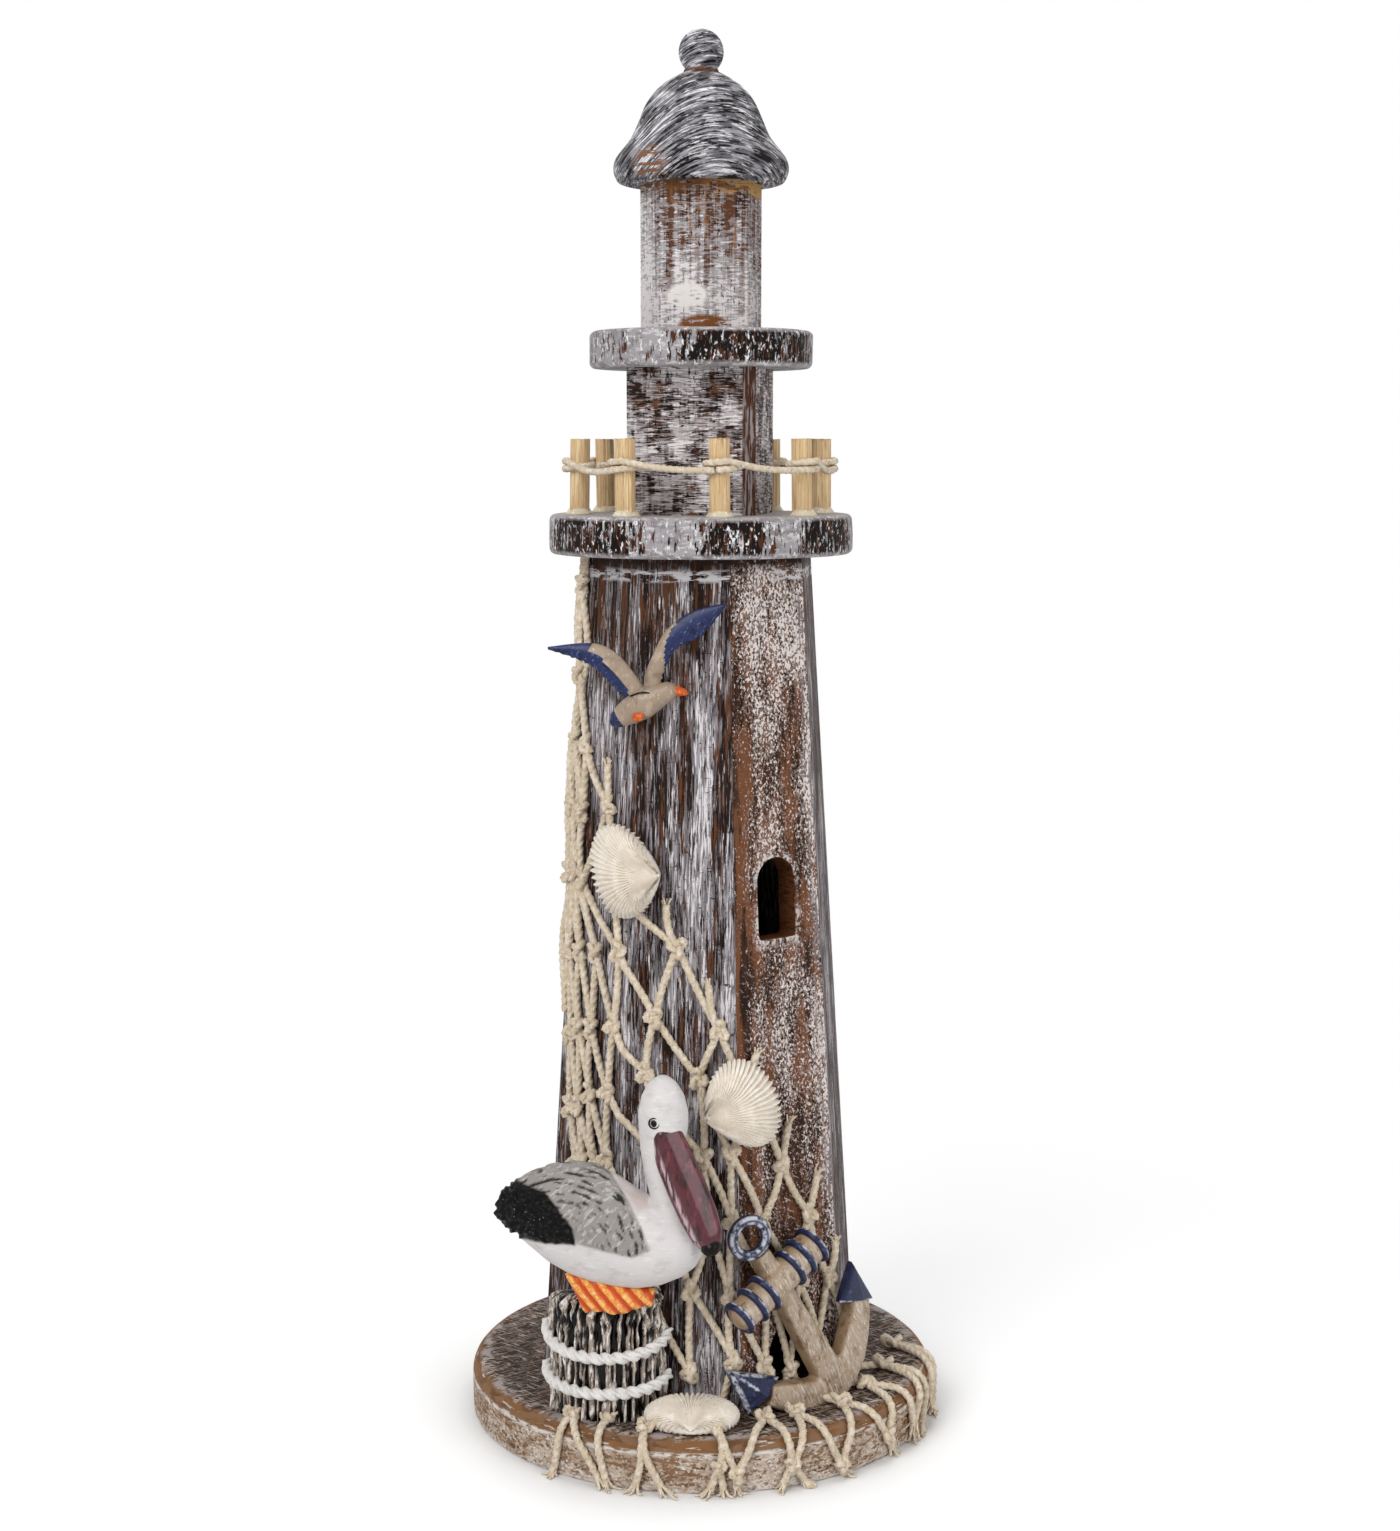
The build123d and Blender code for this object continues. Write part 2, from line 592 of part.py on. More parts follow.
# Net fringe, cut strands that lie across the base and hang over its rim
with BuildPart() as net_fringe:
    lie = BASE_HEIGHT + TWINE_CLEARANCE
    for start_azimuth, start_inset, rim_azimuth in FRINGE:
        start = outward(start_azimuth) * (BASE_RADIUS - start_inset)
        bend = outward(rim_azimuth) * (BASE_RADIUS - SHOULDER_WIDTH)
        middle = (start + bend) * 0.5 + Vector(0, 0, lie)
        with BuildSketch(Plane(origin=middle, x_dir=bend - start, z_dir=(0, 0, 1))):
            Rectangle((bend - start).length + TWINE_DIAMETER, TWINE_DIAMETER)
        extrude(amount=TWINE_DIAMETER)
        with BuildSketch(Plane(origin=(0, 0, 0), x_dir=outward(rim_azimuth), z_dir=-sideways(rim_azimuth))):
            bend_radius = BASE_RADIUS - SHOULDER_WIDTH
            side = BASE_RADIUS + RIM_CLEARANCE
            brow_radius = side - SHOULDER_WIDTH * (1 - sin(radians(45)))
            brow_height = lie + RIM_CLEARANCE - SHOULDER_DROP * (1 - cos(radians(45)))
            drop = BASE_HEIGHT - SHOULDER_DROP
            Polygon(
                (bend_radius, lie),
                (brow_radius, brow_height),
                (side, drop),
                (side, FRINGE_FLOOR_GAP),
                (side + TWINE_DIAMETER, FRINGE_FLOOR_GAP),
                (side + TWINE_DIAMETER, drop + TWINE_DIAMETER),
                (brow_radius + TWINE_DIAMETER / 2, brow_height + TWINE_DIAMETER),
                (bend_radius, lie + TWINE_DIAMETER),
                align=None,
            )
        extrude(amount=TWINE_DIAMETER / 2, both=True)
save(net_fringe, "net_fringe")


def shell_outline(length, width, share):
    """Closed scalloped outline of a cockle, hinge at the origin, drawn in towards the hinge."""
    focus = SHELL_FOCUS * length
    points = []
    for k in range(2 * SHELL_RIBS):
        turn = pi * (k + 0.5) / SHELL_RIBS
        along = length * (1 - cos(turn)) / 2
        flare = SHELL_HINGE_WIDTH + (1 - SHELL_HINGE_WIDTH) * along / length
        across = width / 2 * sin(turn) * flare
        depth = SHELL_RIB_DEPTH * min(1, along / length / SHELL_RIB_START)
        rib = 1 + (depth if k % 2 else -depth)
        points.append((focus + (along - focus) * share * rib, across * share * rib))
    return points


def cockle(name, plane, length, width, height):
    """One valve of a cockle: a ribbed bowl, open underneath."""
    hollow = 1 - 2 * SHELL_WALL / length
    outer_rings = []
    inner_rings = []
    for rise, share in SHELL_STEPS:
        level = plane.offset(rise * height)
        outer_rings.append([level.from_local_coords((*p, 0)) for p in shell_outline(length, width, share)])
        inner_level = plane.offset(rise * (height - SHELL_WALL) - (SHELL_WALL if rise == 0 else 0))
        inner = shell_outline(length * hollow, width * hollow, share)
        inner_rings.append([inner_level.from_local_coords((x + SHELL_WALL / 2, y, 0)) for x, y in inner])
    with BuildPart() as shell:
        add(skin(outer_rings))
        add(skin(inner_rings), mode=Mode.SUBTRACT)
    save(shell, name)


# Cockle shells, two glued over the net and one leaning at the foot of the tower
for shell_name, (azimuth, rise, turn, hinge_across, hinge_up, *shell_size) in NET_SHELLS.items():
    seat = tangent_plane(azimuth, rise, NET_OUT + SHELL_STAND_OFF)
    hinge = seat.from_local_coords((hinge_across, hinge_up, 0))
    margin_way = seat.x_dir * cos(radians(turn)) + seat.y_dir * sin(radians(turn))
    cockle(shell_name, Plane(origin=hinge, x_dir=margin_way, z_dir=seat.z_dir), *shell_size)
foot_out = outward(SHELL_FOOT_AZIMUTH)
foot_radius = TOWER_FOOT_FLATS / 2 + SHELL_FOOT_REACH
foot_hinge = foot_out * foot_radius + Vector(0, 0, BASE_HEIGHT + NET_OUT + SHELL_STAND_OFF)
foot_lean = radians(SHELL_FOOT_TILT)
foot_plane = Plane(
    origin=foot_hinge,
    x_dir=-foot_out * cos(foot_lean) + Vector(0, 0, sin(foot_lean)),
    z_dir=foot_out * sin(foot_lean) + Vector(0, 0, cos(foot_lean)),
)
cockle("shell_foot", foot_plane, SHELL_FOOT_LENGTH, SHELL_FOOT_WIDTH, SHELL_FOOT_HEIGHT)

# Gull, a resin casting glued to the front stave with its wings raised
with BuildPart() as gull:
    seat = face_plane(0, TWINE_CLEARANCE)
    body_rise = TOWER_HEIGHT / cos(radians(TOWER_LEAN)) - GULL_DROP
    body_centre = seat.from_local_coords((GULL_ACROSS, body_rise, 0))
    wing_centre = seat.from_local_coords((GULL_ACROSS, body_rise, GULL_WING_STAND_OFF))
    for root, upper_bow, tip, lower_bow, lower_root in (GULL_LEFT_WING, GULL_RIGHT_WING):
        with BuildSketch(Plane(origin=wing_centre, x_dir=seat.x_dir, z_dir=seat.z_dir)):
            with BuildLine():
                ThreePointArc(root, upper_bow, tip)
                ThreePointArc(tip, lower_bow, lower_root)
                Line(lower_root, root)
            make_face()
        extrude(amount=GULL_WING_THICKNESS)
    tilt = radians(GULL_AXIS_TILT)
    body_heading = seat.x_dir * cos(tilt) + seat.y_dir * sin(tilt)
    with BuildSketch(Plane(origin=body_centre, x_dir=body_heading, z_dir=seat.z_dir)):
        with BuildLine():
            half_length = GULL_BODY_LENGTH / 2
            outline = [(along * half_length, out * GULL_BODY_RADIUS) for along, out in GULL_OUTLINE]
            Polyline(*outline, close=True)
        make_face()
    revolve(axis=Axis(body_centre, body_heading), revolution_arc=180)
save(gull, "gull")

# Anchor, a flat resin casting that stands on its crown and leans on the netted tower
with BuildPart() as anchor:
    lie = face_plane(STAVE_STEP, NET_OUT + SHELL_STAND_OFF)
    up = radians(90 + ANCHOR_TILT)
    shank_dir = lie.x_dir * cos(up) + lie.y_dir * sin(up)
    anchor_back = Plane(
        origin=lie.from_local_coords((ANCHOR_CROWN_ASIDE, ANCHOR_CROWN_DROP, 0)),
        x_dir=shank_dir.cross(lie.z_dir),
        z_dir=lie.z_dir,
    )
    with BuildSketch(anchor_back) as anchor_face:
        Polygon(
            (-ANCHOR_SHANK_FOOT / 2, 0),
            (ANCHOR_SHANK_FOOT / 2, 0),
            (ANCHOR_SHANK_HEAD / 2, ANCHOR_SHANK_LENGTH),
            (-ANCHOR_SHANK_HEAD / 2, ANCHOR_SHANK_LENGTH),
            align=None,
        )
        with BuildLine():
            crown = (0, -ANCHOR_CROWN_DROP)
            ThreePointArc(crown, ANCHOR_ARM_BELLY, ANCHOR_ARM_TIP)
            Line(ANCHOR_ARM_TIP, ANCHOR_ARM_THROAT)
            ThreePointArc(ANCHOR_ARM_THROAT, ANCHOR_ARM_CROTCH, (0, ANCHOR_SHANK_FOOT / 2))
            Line((0, ANCHOR_SHANK_FOOT / 2), crown)
        make_face()
        Polygon(*ANCHOR_FLUKE, align=None)
        mirror(about=Plane.YZ)
    extrude(amount=ANCHOR_THICKNESS)
    stock_depth = ANCHOR_STOCK_RADIUS + ANCHOR_BAND_HEIGHT
    stock_axis = anchor_back.from_local_coords((0, ANCHOR_STOCK_RISE, stock_depth))
    stock_end = Plane(origin=stock_axis, x_dir=anchor_back.y_dir, z_dir=anchor_back.x_dir)
    with BuildSketch(stock_end):
        RegularPolygon(ANCHOR_STOCK_RADIUS, ANCHOR_STOCK_SIDES)
    extrude(amount=ANCHOR_STOCK_LENGTH / 2, both=True)
    band_step = (ANCHOR_STOCK_LENGTH - ANCHOR_BAND_WIDTH) / (ANCHOR_BAND_COUNT - 1)
    for k in range(ANCHOR_BAND_COUNT):
        with BuildSketch(stock_end.offset(band_step * (k - (ANCHOR_BAND_COUNT - 1) / 2))):
            RegularPolygon(stock_depth, ANCHOR_STOCK_SIDES)
        extrude(amount=ANCHOR_BAND_WIDTH / 2, both=True)
    ring_rise = ANCHOR_SHANK_LENGTH + ANCHOR_RING_RADIUS
    ring_centre = anchor_back.from_local_coords((0, ring_rise, ANCHOR_THICKNESS / 2))
    with BuildSketch(Plane(origin=ring_centre, x_dir=anchor_back.x_dir, z_dir=-anchor_back.y_dir)):
        with Locations((ANCHOR_RING_RADIUS, 0)):
            RegularPolygon(ANCHOR_RING_WIRE, ANCHOR_RING_SIDES)
    revolve(axis=Axis(ring_centre, anchor_back.z_dir))
save(anchor, "anchor")

# Pelican on a rope-bound piling, one flat-backed resin casting that stands on the base
PELICAN_BACK = TOWER_FOOT_FLATS / 2 + NET_OUT + PELICAN_STAND_OFF
PILING_DEPTH = BASE_RADIUS - PILING_RIM_INSET - PELICAN_BACK
back_foot = outward(0) * PELICAN_BACK + sideways(0) * PELICAN_ASIDE + Vector(0, 0, BASE_HEIGHT)
piling_plan = Plane(origin=back_foot, x_dir=sideways(0), z_dir=(0, 0, 1))
# Body sections: place along the bird, middle height, half height and half depth.
BODY_SECTIONS = [
    (-27.0, 55.7, 1.6, 1.8),
    (-20.0, 57.2, 8.3, 6.0),
    (-9.0, 55.2, 14.3, 9.0),
    (4.5, 52.2, 14.5, 10.0),
    (18.0, 49.7, 11.0, 9.0),
    (27.0, 50.5, 5.0, 4.5),
]
# Neck and head sections: height, middle along the bird, half width, half depth and middle depth.
NECK_SECTIONS = [
    (53.0, 19.0, 8.0, 6.5, 9.5),
    (66.0, 17.5, 5.2, 4.8, 11.0),
    (78.0, 17.3, 6.0, 5.4, 12.0),
    (87.0, 17.2, 6.6, 5.8, 12.5),
    (92.5, 17.2, 4.4, 4.0, 12.5),
    (95.2, 17.2, 1.2, 1.2, 12.5),
]
# Bill sections: distance along the bill, half width and half thickness.
BILL_SECTIONS = [(0.0, 5.0, 3.0), (14.0, 5.2, 3.6), (26.0, 4.6, 3.2), (34.0, 2.0, 1.6)]
BILL_ROOT = (18.0, 83.0, 16.0)
BILL_TILT = 19.5
BODY_DEPTH = 9.5
with BuildPart() as pelican:
    with BuildSketch(piling_plan) as piling_outline:
        ridge_points = []
        for k in range(2 * PILING_RIDGES + 1):
            turn = pi * k / (2 * PILING_RIDGES)
            groove = PILING_RIDGE_DEPTH if k % 2 else 0
            ridge_points.append(
                (-(PILING_HALF_WIDTH - groove) * cos(turn), -(PILING_DEPTH - groove) * sin(turn))
            )
        Polygon(*ridge_points, align=None)
    extrude(amount=PILING_HEIGHT)
    for rope_rise, rope_droop in PILING_ROPES:
        rope_plane = Plane(
            origin=back_foot + Vector(0, 0, rope_rise),
            x_dir=sideways(0),
            z_dir=Vector(0, 0, cos(radians(rope_droop))) + outward(0) * sin(radians(rope_droop)),
        )
        with BuildSketch(rope_plane):
            reach = PILING_ROPE_DIAMETER / 2
            Ellipse(PILING_HALF_WIDTH + reach, PILING_DEPTH + reach)
            half_plan = 2 * PILING_HALF_WIDTH
            Rectangle(2 * half_plan, half_plan, align=(Align.CENTER, Align.MIN), mode=Mode.SUBTRACT)
        extrude(amount=PILING_ROPE_DIAMETER)
    bird_plane = Plane(origin=back_foot, x_dir=sideways(0), z_dir=outward(0))
    with BuildSketch(bird_plane.offset(WEB_FOOT_BACK)):
        Polygon(*WEB_FOOT, align=None)
    extrude(amount=PILING_DEPTH)
    body_rings = []
    for along, middle, half_height, half_depth in BODY_SECTIONS:
        section_origin = bird_plane.from_local_coords((along, middle, BODY_DEPTH))
        section = Plane(origin=section_origin, x_dir=outward(0), z_dir=-sideways(0))
        body_rings.append(oval(section, half_depth, half_height))
    add(skin(body_rings))
    neck_rings = []
    for height, middle, half_width, half_depth, depth in NECK_SECTIONS:
        section_origin = bird_plane.from_local_coords((middle, height, depth))
        section = Plane(origin=section_origin, x_dir=sideways(0), z_dir=(0, 0, 1))
        neck_rings.append(oval(section, half_width, half_depth))
    add(skin(neck_rings))
    bill_down = sideways(0) * sin(radians(BILL_TILT)) - Vector(0, 0, cos(radians(BILL_TILT)))
    bill_rings = []
    for along, half_width, half_thickness in BILL_SECTIONS:
        section_origin = bird_plane.from_local_coords(BILL_ROOT) + bill_down * along
        section = Plane(origin=section_origin, x_dir=bill_down.cross(outward(0)), z_dir=bill_down)
        bill_rings.append(oval(section, half_width, half_thickness))
    add(skin(bill_rings))
    split(bisect_by=bird_plane, keep=Keep.TOP)
save(pelican, "pelican")
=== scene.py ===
import math
import random

import bmesh
import bpy
import numpy as np
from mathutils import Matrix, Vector, noise


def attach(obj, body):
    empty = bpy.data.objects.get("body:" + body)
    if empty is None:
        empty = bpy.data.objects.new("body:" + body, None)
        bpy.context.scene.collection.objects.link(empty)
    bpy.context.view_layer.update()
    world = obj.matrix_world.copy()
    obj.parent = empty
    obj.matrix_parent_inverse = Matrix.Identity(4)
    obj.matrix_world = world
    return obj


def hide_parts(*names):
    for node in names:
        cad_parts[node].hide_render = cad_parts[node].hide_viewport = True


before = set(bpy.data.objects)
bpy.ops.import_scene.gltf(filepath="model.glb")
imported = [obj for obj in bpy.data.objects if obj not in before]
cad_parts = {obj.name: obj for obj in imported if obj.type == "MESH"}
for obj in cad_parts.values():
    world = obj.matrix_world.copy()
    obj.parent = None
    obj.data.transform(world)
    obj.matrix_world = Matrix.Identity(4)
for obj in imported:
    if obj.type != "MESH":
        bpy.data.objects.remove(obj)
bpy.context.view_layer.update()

# Base disc: one turned softwood disc, sanded, stained brown and rubbed with thin white paint.
# The side keeps more bare tan wood than the darker top, and the paint catches on the top's edge.
MM = 0.001
BASE_RADIUS = 65.0
BASE_TOP = 14.3
SHOULDER_WIDTH = 4.0
SHOULDER_DROP = 3.8
FOOT_EASE = 1.0
# Extra rings that let hand sanding show on the underside, the side and the top.
UNDER_RING = 30.0
SIDE_RINGS = (4.0, 7.5)
TOP_RINGS = (57.0, 40.0)
# How broken the edges of brush marks and grain are, and how finely they split.
MARK_ROUGHNESS = 0.62
MARK_DETAIL = 5.0
# Brightness of the darkest and the palest paint, which sets how matt each is, and how proud paint stands.
DARK_PAINT = 0.02
PALE_PAINT = 0.6
PAINT_BUMP = 0.6
# Closest that two points of a mesh may lie, in metres, then how many dents come to a millimetre and how
# far from the axis they start.
WELD = 1e-7
DENT_PITCH = 0.16
DENT_START = 1.0


def linear(hex_colour):
    """Linear RGBA of an sRGB hex colour."""
    channels = [int(hex_colour[k : k + 2], 16) / 255 for k in (1, 3, 5)]
    return [c / 12.92 if c <= 0.04045 else ((c + 0.055) / 1.055) ** 2.4 for c in channels] + [1.0]


def add_node(tree, kind, settings, sockets):
    """Add a node, set its properties, then set or link each of its sockets."""
    node = tree.nodes.new(kind)
    for key, value in settings.items():
        setattr(node, key, value)
    for key, value in sockets.items():
        if isinstance(value, bpy.types.Node):
            value = value.outputs[0]
        if isinstance(value, bpy.types.NodeSocket):
            tree.links.new(value, node.inputs[key])
        else:
            node.inputs[key].default_value = value
    return node


def marks(size, low, high, turn=(0, 0, 0), place=0.0, swell=(), arch=None):
    """Mask of brush marks or grain of a size in millimetres, where their noise rises from low to high.

    Each swell is another mask and how far it lifts the noise, so that marks crowd where that mask is high.
    An arch is the radius that strokes across the front bend to.
    """

    def mask(tree):
        coords = add_node(tree, "ShaderNodeTexCoord", {}, {}).outputs["Object"]
        if arch is not None:
            parts = add_node(tree, "ShaderNodeSeparateXYZ", {}, {0: coords})
            square = add_node(tree, "ShaderNodeMath", {"operation": "MULTIPLY"}, {0: parts, 1: parts})
            sockets = {0: square, 1: 0.5 / (arch * MM), 2: parts.outputs["Z"]}
            rise = add_node(tree, "ShaderNodeMath", {"operation": "MULTIPLY_ADD"}, sockets)
            coords = add_node(tree, "ShaderNodeCombineXYZ", {}, {0: parts, 1: parts.outputs["Y"], 2: rise})
        sockets = {
            "Vector": coords,
            "Location": [place * MM] * 3,
            "Rotation": [math.radians(a) for a in turn],
            "Scale": [s * MM for s in size],
        }
        laid = add_node(tree, "ShaderNodeMapping", {"vector_type": "TEXTURE"}, sockets)
        sockets = {"Vector": laid, "Scale": 1.0, "Detail": MARK_DETAIL, "Roughness": MARK_ROUGHNESS}
        level = add_node(tree, "ShaderNodeTexNoise", {}, sockets)
        for crowd, lift in swell:
            sockets = {0: crowd(tree), 1: lift, 2: level}
            level = add_node(tree, "ShaderNodeMath", {"operation": "MULTIPLY_ADD"}, sockets)
        sockets = {"Value": level, "From Min": low, "From Max": high}
        return add_node(tree, "ShaderNodeMapRange", {"interpolation_type": "SMOOTHSTEP"}, sockets)

    return mask


def across(direction, start, full):
    """Mask that rises from 0 to 1 between two distances along a direction, or from the axis."""

    def mask(tree):
        coords = add_node(tree, "ShaderNodeTexCoord", {}, {}).outputs["Object"]
        if direction is None:
            sockets = {0: coords, 1: (1, 1, 0)}
            flat = add_node(tree, "ShaderNodeVectorMath", {"operation": "MULTIPLY"}, sockets)
            measure = add_node(tree, "ShaderNodeVectorMath", {"operation": "LENGTH"}, {0: flat})
        else:
            sockets = {0: coords, 1: direction}
            measure = add_node(tree, "ShaderNodeVectorMath", {"operation": "DOT_PRODUCT"}, sockets)
        sockets = {"Value": measure.outputs["Value"], "From Min": start * MM, "From Max": full * MM}
        return add_node(tree, "ShaderNodeMapRange", {}, sockets)

    return mask


def above(start, full):
    """Mask that rises from 0 to 1 from one height in millimetres to another, up or down."""
    return across((0, 0, 1), start, full)


def around(spot, start, full, squeeze=(1, 1, 1)):
    """Mask that rises from 0 to 1 between two distances in millimetres from a place.

    A squeeze counts the distance along each axis for more or less than it is.
    """

    def mask(tree):
        coords = add_node(tree, "ShaderNodeTexCoord", {}, {}).outputs["Object"]
        sockets = {0: coords, 1: Vector(spot) * MM}
        away = add_node(tree, "ShaderNodeVectorMath", {"operation": "SUBTRACT"}, sockets)
        away = add_node(tree, "ShaderNodeVectorMath", {"operation": "MULTIPLY"}, {0: away, 1: squeeze})
        measure = add_node(tree, "ShaderNodeVectorMath", {"operation": "LENGTH"}, {0: away})
        sockets = {"Value": measure.outputs["Value"], "From Min": start * MM, "From Max": full * MM}
        return add_node(tree, "ShaderNodeMapRange", {}, sockets)

    return mask


def painted(name, layers, rough=(0.62, 0.85), relief=0.25, specular=0.1):
    """Finish of colours laid over one another, each where its masks let it show.

    Pale paint stands proud by the relief in millimetres, and rough is for the darkest and the palest paint.
    """
    material = bpy.data.materials.new(name)
    material.use_nodes = True
    tree = material.node_tree
    shader = tree.nodes["Principled BSDF"]
    colour = linear(layers[0][0])
    for hex_colour, masks in layers[1:]:
        cover = masks[0](tree)
        for other in masks[1:]:
            cover = add_node(tree, "ShaderNodeMath", {"operation": "MULTIPLY"}, {0: cover, 1: other(tree)})
        sockets = {"Fac": cover, "Color1": colour, "Color2": linear(hex_colour)}
        colour = add_node(tree, "ShaderNodeMixRGB", {}, sockets)
    height = add_node(tree, "ShaderNodeRGBToBW", {}, {"Color": colour})
    sockets = {"Height": height, "Strength": PAINT_BUMP, "Distance": relief * MM}
    bump = add_node(tree, "ShaderNodeBump", {}, sockets)
    sockets = {"Value": height, "From Min": DARK_PAINT, "From Max": PALE_PAINT}
    sockets.update({"To Min": rough[0], "To Max": rough[1]})
    matt = add_node(tree, "ShaderNodeMapRange", {}, sockets)
    tree.links.new(colour.outputs[0], shader.inputs["Base Color"])
    tree.links.new(matt.outputs[0], shader.inputs["Roughness"])
    tree.links.new(bump.outputs[0], shader.inputs["Normal"])
    shader.inputs["Specular IOR Level"].default_value = specular
    return material


def new_piece(name, points, faces, material, smooth=True):
    """Object made from points in millimetres, at the origin, with its normals turned outwards."""
    mesh = bpy.data.meshes.new(name)
    mesh.from_pydata([Vector(p) * MM for p in points], [], faces)
    shell = bmesh.new()
    shell.from_mesh(mesh)
    bmesh.ops.remove_doubles(shell, verts=shell.verts, dist=WELD)
    bmesh.ops.recalc_face_normals(shell, faces=shell.faces)
    shell.to_mesh(mesh)
    shell.free()
    mesh.polygons.foreach_set("use_smooth", [smooth] * len(mesh.polygons))
    mesh.materials.append(material)
    piece = bpy.data.objects.new(name, mesh)
    bpy.context.scene.collection.objects.link(piece)
    return piece


def lofted(rings):
    """Points and faces of a closed skin over rings of points, capped at both ends."""
    count = len(rings[0])
    faces = []
    for ring in range(len(rings) - 1):
        for k in range(count):
            after = (k + 1) % count
            low, high = ring * count, (ring + 1) * count
            faces.append((low + k, low + after, high + after, high + k))
    faces.append(tuple(range(count)))
    faces.append(tuple((len(rings) - 1) * count + k for k in range(count)))
    return [p for ring in rings for p in ring], faces


def turned(name, profile, material, dent=0.12, sides=144):
    """Piece turned about the upright axis from radius and height pairs, dented a little by hand sanding."""
    rings = []
    for radius, height in profile:
        ring = []
        for k in range(sides):
            turn = 2 * math.pi * k / sides
            way = Vector((math.sin(turn), -math.cos(turn), 0))
            spot = way * radius + Vector((0, 0, height))
            ring.append(spot + way * (noise.noise(spot * DENT_PITCH) * dent if radius > DENT_START else 0))
        rings.append(ring)
    return new_piece(name, *lofted(rings), material)


def eased(start, corner, end, steps=6):
    """Points of a rounded edge between two places on a profile, about their sharp corner."""
    centre = (start[0] + end[0] - corner[0], start[1] + end[1] - corner[1])
    spots = []
    for k in range(steps + 1):
        turn = math.pi / 2 * k / steps
        out = (start[0] - centre[0]) * math.cos(turn) + (end[0] - centre[0]) * math.sin(turn)
        rise = (start[1] - centre[1]) * math.cos(turn) + (end[1] - centre[1]) * math.sin(turn)
        spots.append((centre[0] + out, centre[1] + rise))
    return spots


# Open-grained softwood gives a matt ground, tan on the side and dark on top, with chalky rubbed paint.
on_shoulder = above(9.9, 10.6)
on_top = above(13.7, 14.2)
on_side = above(10.6, 10.0)
rubbed = [(marks((11, 11, 4), 0.36, 0.64), 0.12), (above(5.0, 0.0), 0.06)]
base_finish = painted(
    "stained_softwood_rubbed_white",
    [
        ("#86674E", []),
        ("#684A34", [marks((7, 7, 1.6), 0.52, 0.62, place=4)]),
        ("#835D3B", [on_shoulder, marks((9, 9, 1.2), 0.46, 0.58, place=11)]),
        ("#CFC5BC", [on_shoulder, marks((6, 6, 0.7), 0.59, 0.65, place=37)]),
        ("#B09A86", [on_side, marks((3, 3, 1.0), 0.47, 0.57, place=23)]),
        ("#C4B4A5", [on_side, marks((1.3, 1.3, 0.8), 0.57, 0.63, place=3, swell=rubbed)]),
        ("#DDD5CD", [on_side, marks((1.0, 1.0, 0.6), 0.64, 0.69, place=7, swell=rubbed)]),
        ("#36281F", [on_top, across(None, 62.0, 60.5)]),
        ("#1B120E", [on_top, marks((12, 1.6, 2), 0.5, 0.56, turn=(0, 0, 20))]),
        ("#7C6A5E", [on_top, marks((5, 0.8, 2), 0.5, 0.55, turn=(0, 0, 35), place=8)]),
        ("#C0B4AC", [on_top, marks((4, 0.7, 2), 0.57, 0.62, turn=(0, 0, -40), place=2)]),
        ("#C4BAB2", [
            across(None, 55.0, 60.0),
            on_top,
            marks((4.0, 0.9, 1.6), 0.56, 0.61, turn=(0, 0, 25)),
        ]),
        ("#ABA09E", [across(None, 58.8, 60.2), on_top, marks((6, 6, 4), 0.5, 0.58, place=31)]),
        ("#DDD6CF", [above(9.6, 10.3), above(11.4, 10.8), marks((3, 3, 1), 0.42, 0.52)]),
        ("#DDD6CF", [above(1.8, 0.5), marks((3, 3, 1.2), 0.46, 0.56)]),
    ],
)
base_profile = [
    (0.0, 0.0),
    (UNDER_RING, 0.0),
    (BASE_RADIUS - FOOT_EASE, 0.0),
    *eased((BASE_RADIUS - FOOT_EASE, 0.0), (BASE_RADIUS, 0.0), (BASE_RADIUS, FOOT_EASE), steps=4),
    *[(BASE_RADIUS, rise) for rise in SIDE_RINGS],
    *eased(
        (BASE_RADIUS, BASE_TOP - SHOULDER_DROP),
        (BASE_RADIUS, BASE_TOP),
        (BASE_RADIUS - SHOULDER_WIDTH, BASE_TOP),
        steps=10,
    ),
    *[(radius, BASE_TOP) for radius in TOP_RINGS],
    (0.0, BASE_TOP),
]
base_wood = turned("base_wood", base_profile, base_finish)
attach(base_wood, "root")
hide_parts("base_disc")

# Tower: eight bevelled pine staves glued into a tapering octagon, stained dark and dry-brushed upright.
# A wet brush left grey-white streaks in the grain, and sanding left short brown scuffs across it.
FRONT_TURN = -8.6
STAVE_STEP = 45.0
TOWER_HEIGHT = 226.9
FOOT_FLATS = 42.0
HEAD_FLATS = 28.8
TOWER_TOP = 241.2
LEAN = math.atan((FOOT_FLATS - HEAD_FLATS) / TOWER_HEIGHT)


def outward(azimuth):
    """Unit vector away from the axis at an azimuth in degrees, from the front to the right."""
    angle = math.radians(azimuth)
    return Vector((math.sin(angle), -math.cos(angle), 0))


def rightward(azimuth):
    """Unit vector to the right of someone who looks at that azimuth."""
    angle = math.radians(azimuth)
    return Vector((math.cos(angle), math.sin(angle), 0))


def refinish(node, material):
    """Give a piece of the frame its finish."""
    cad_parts[node].data.materials.clear()
    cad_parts[node].data.materials.append(material)


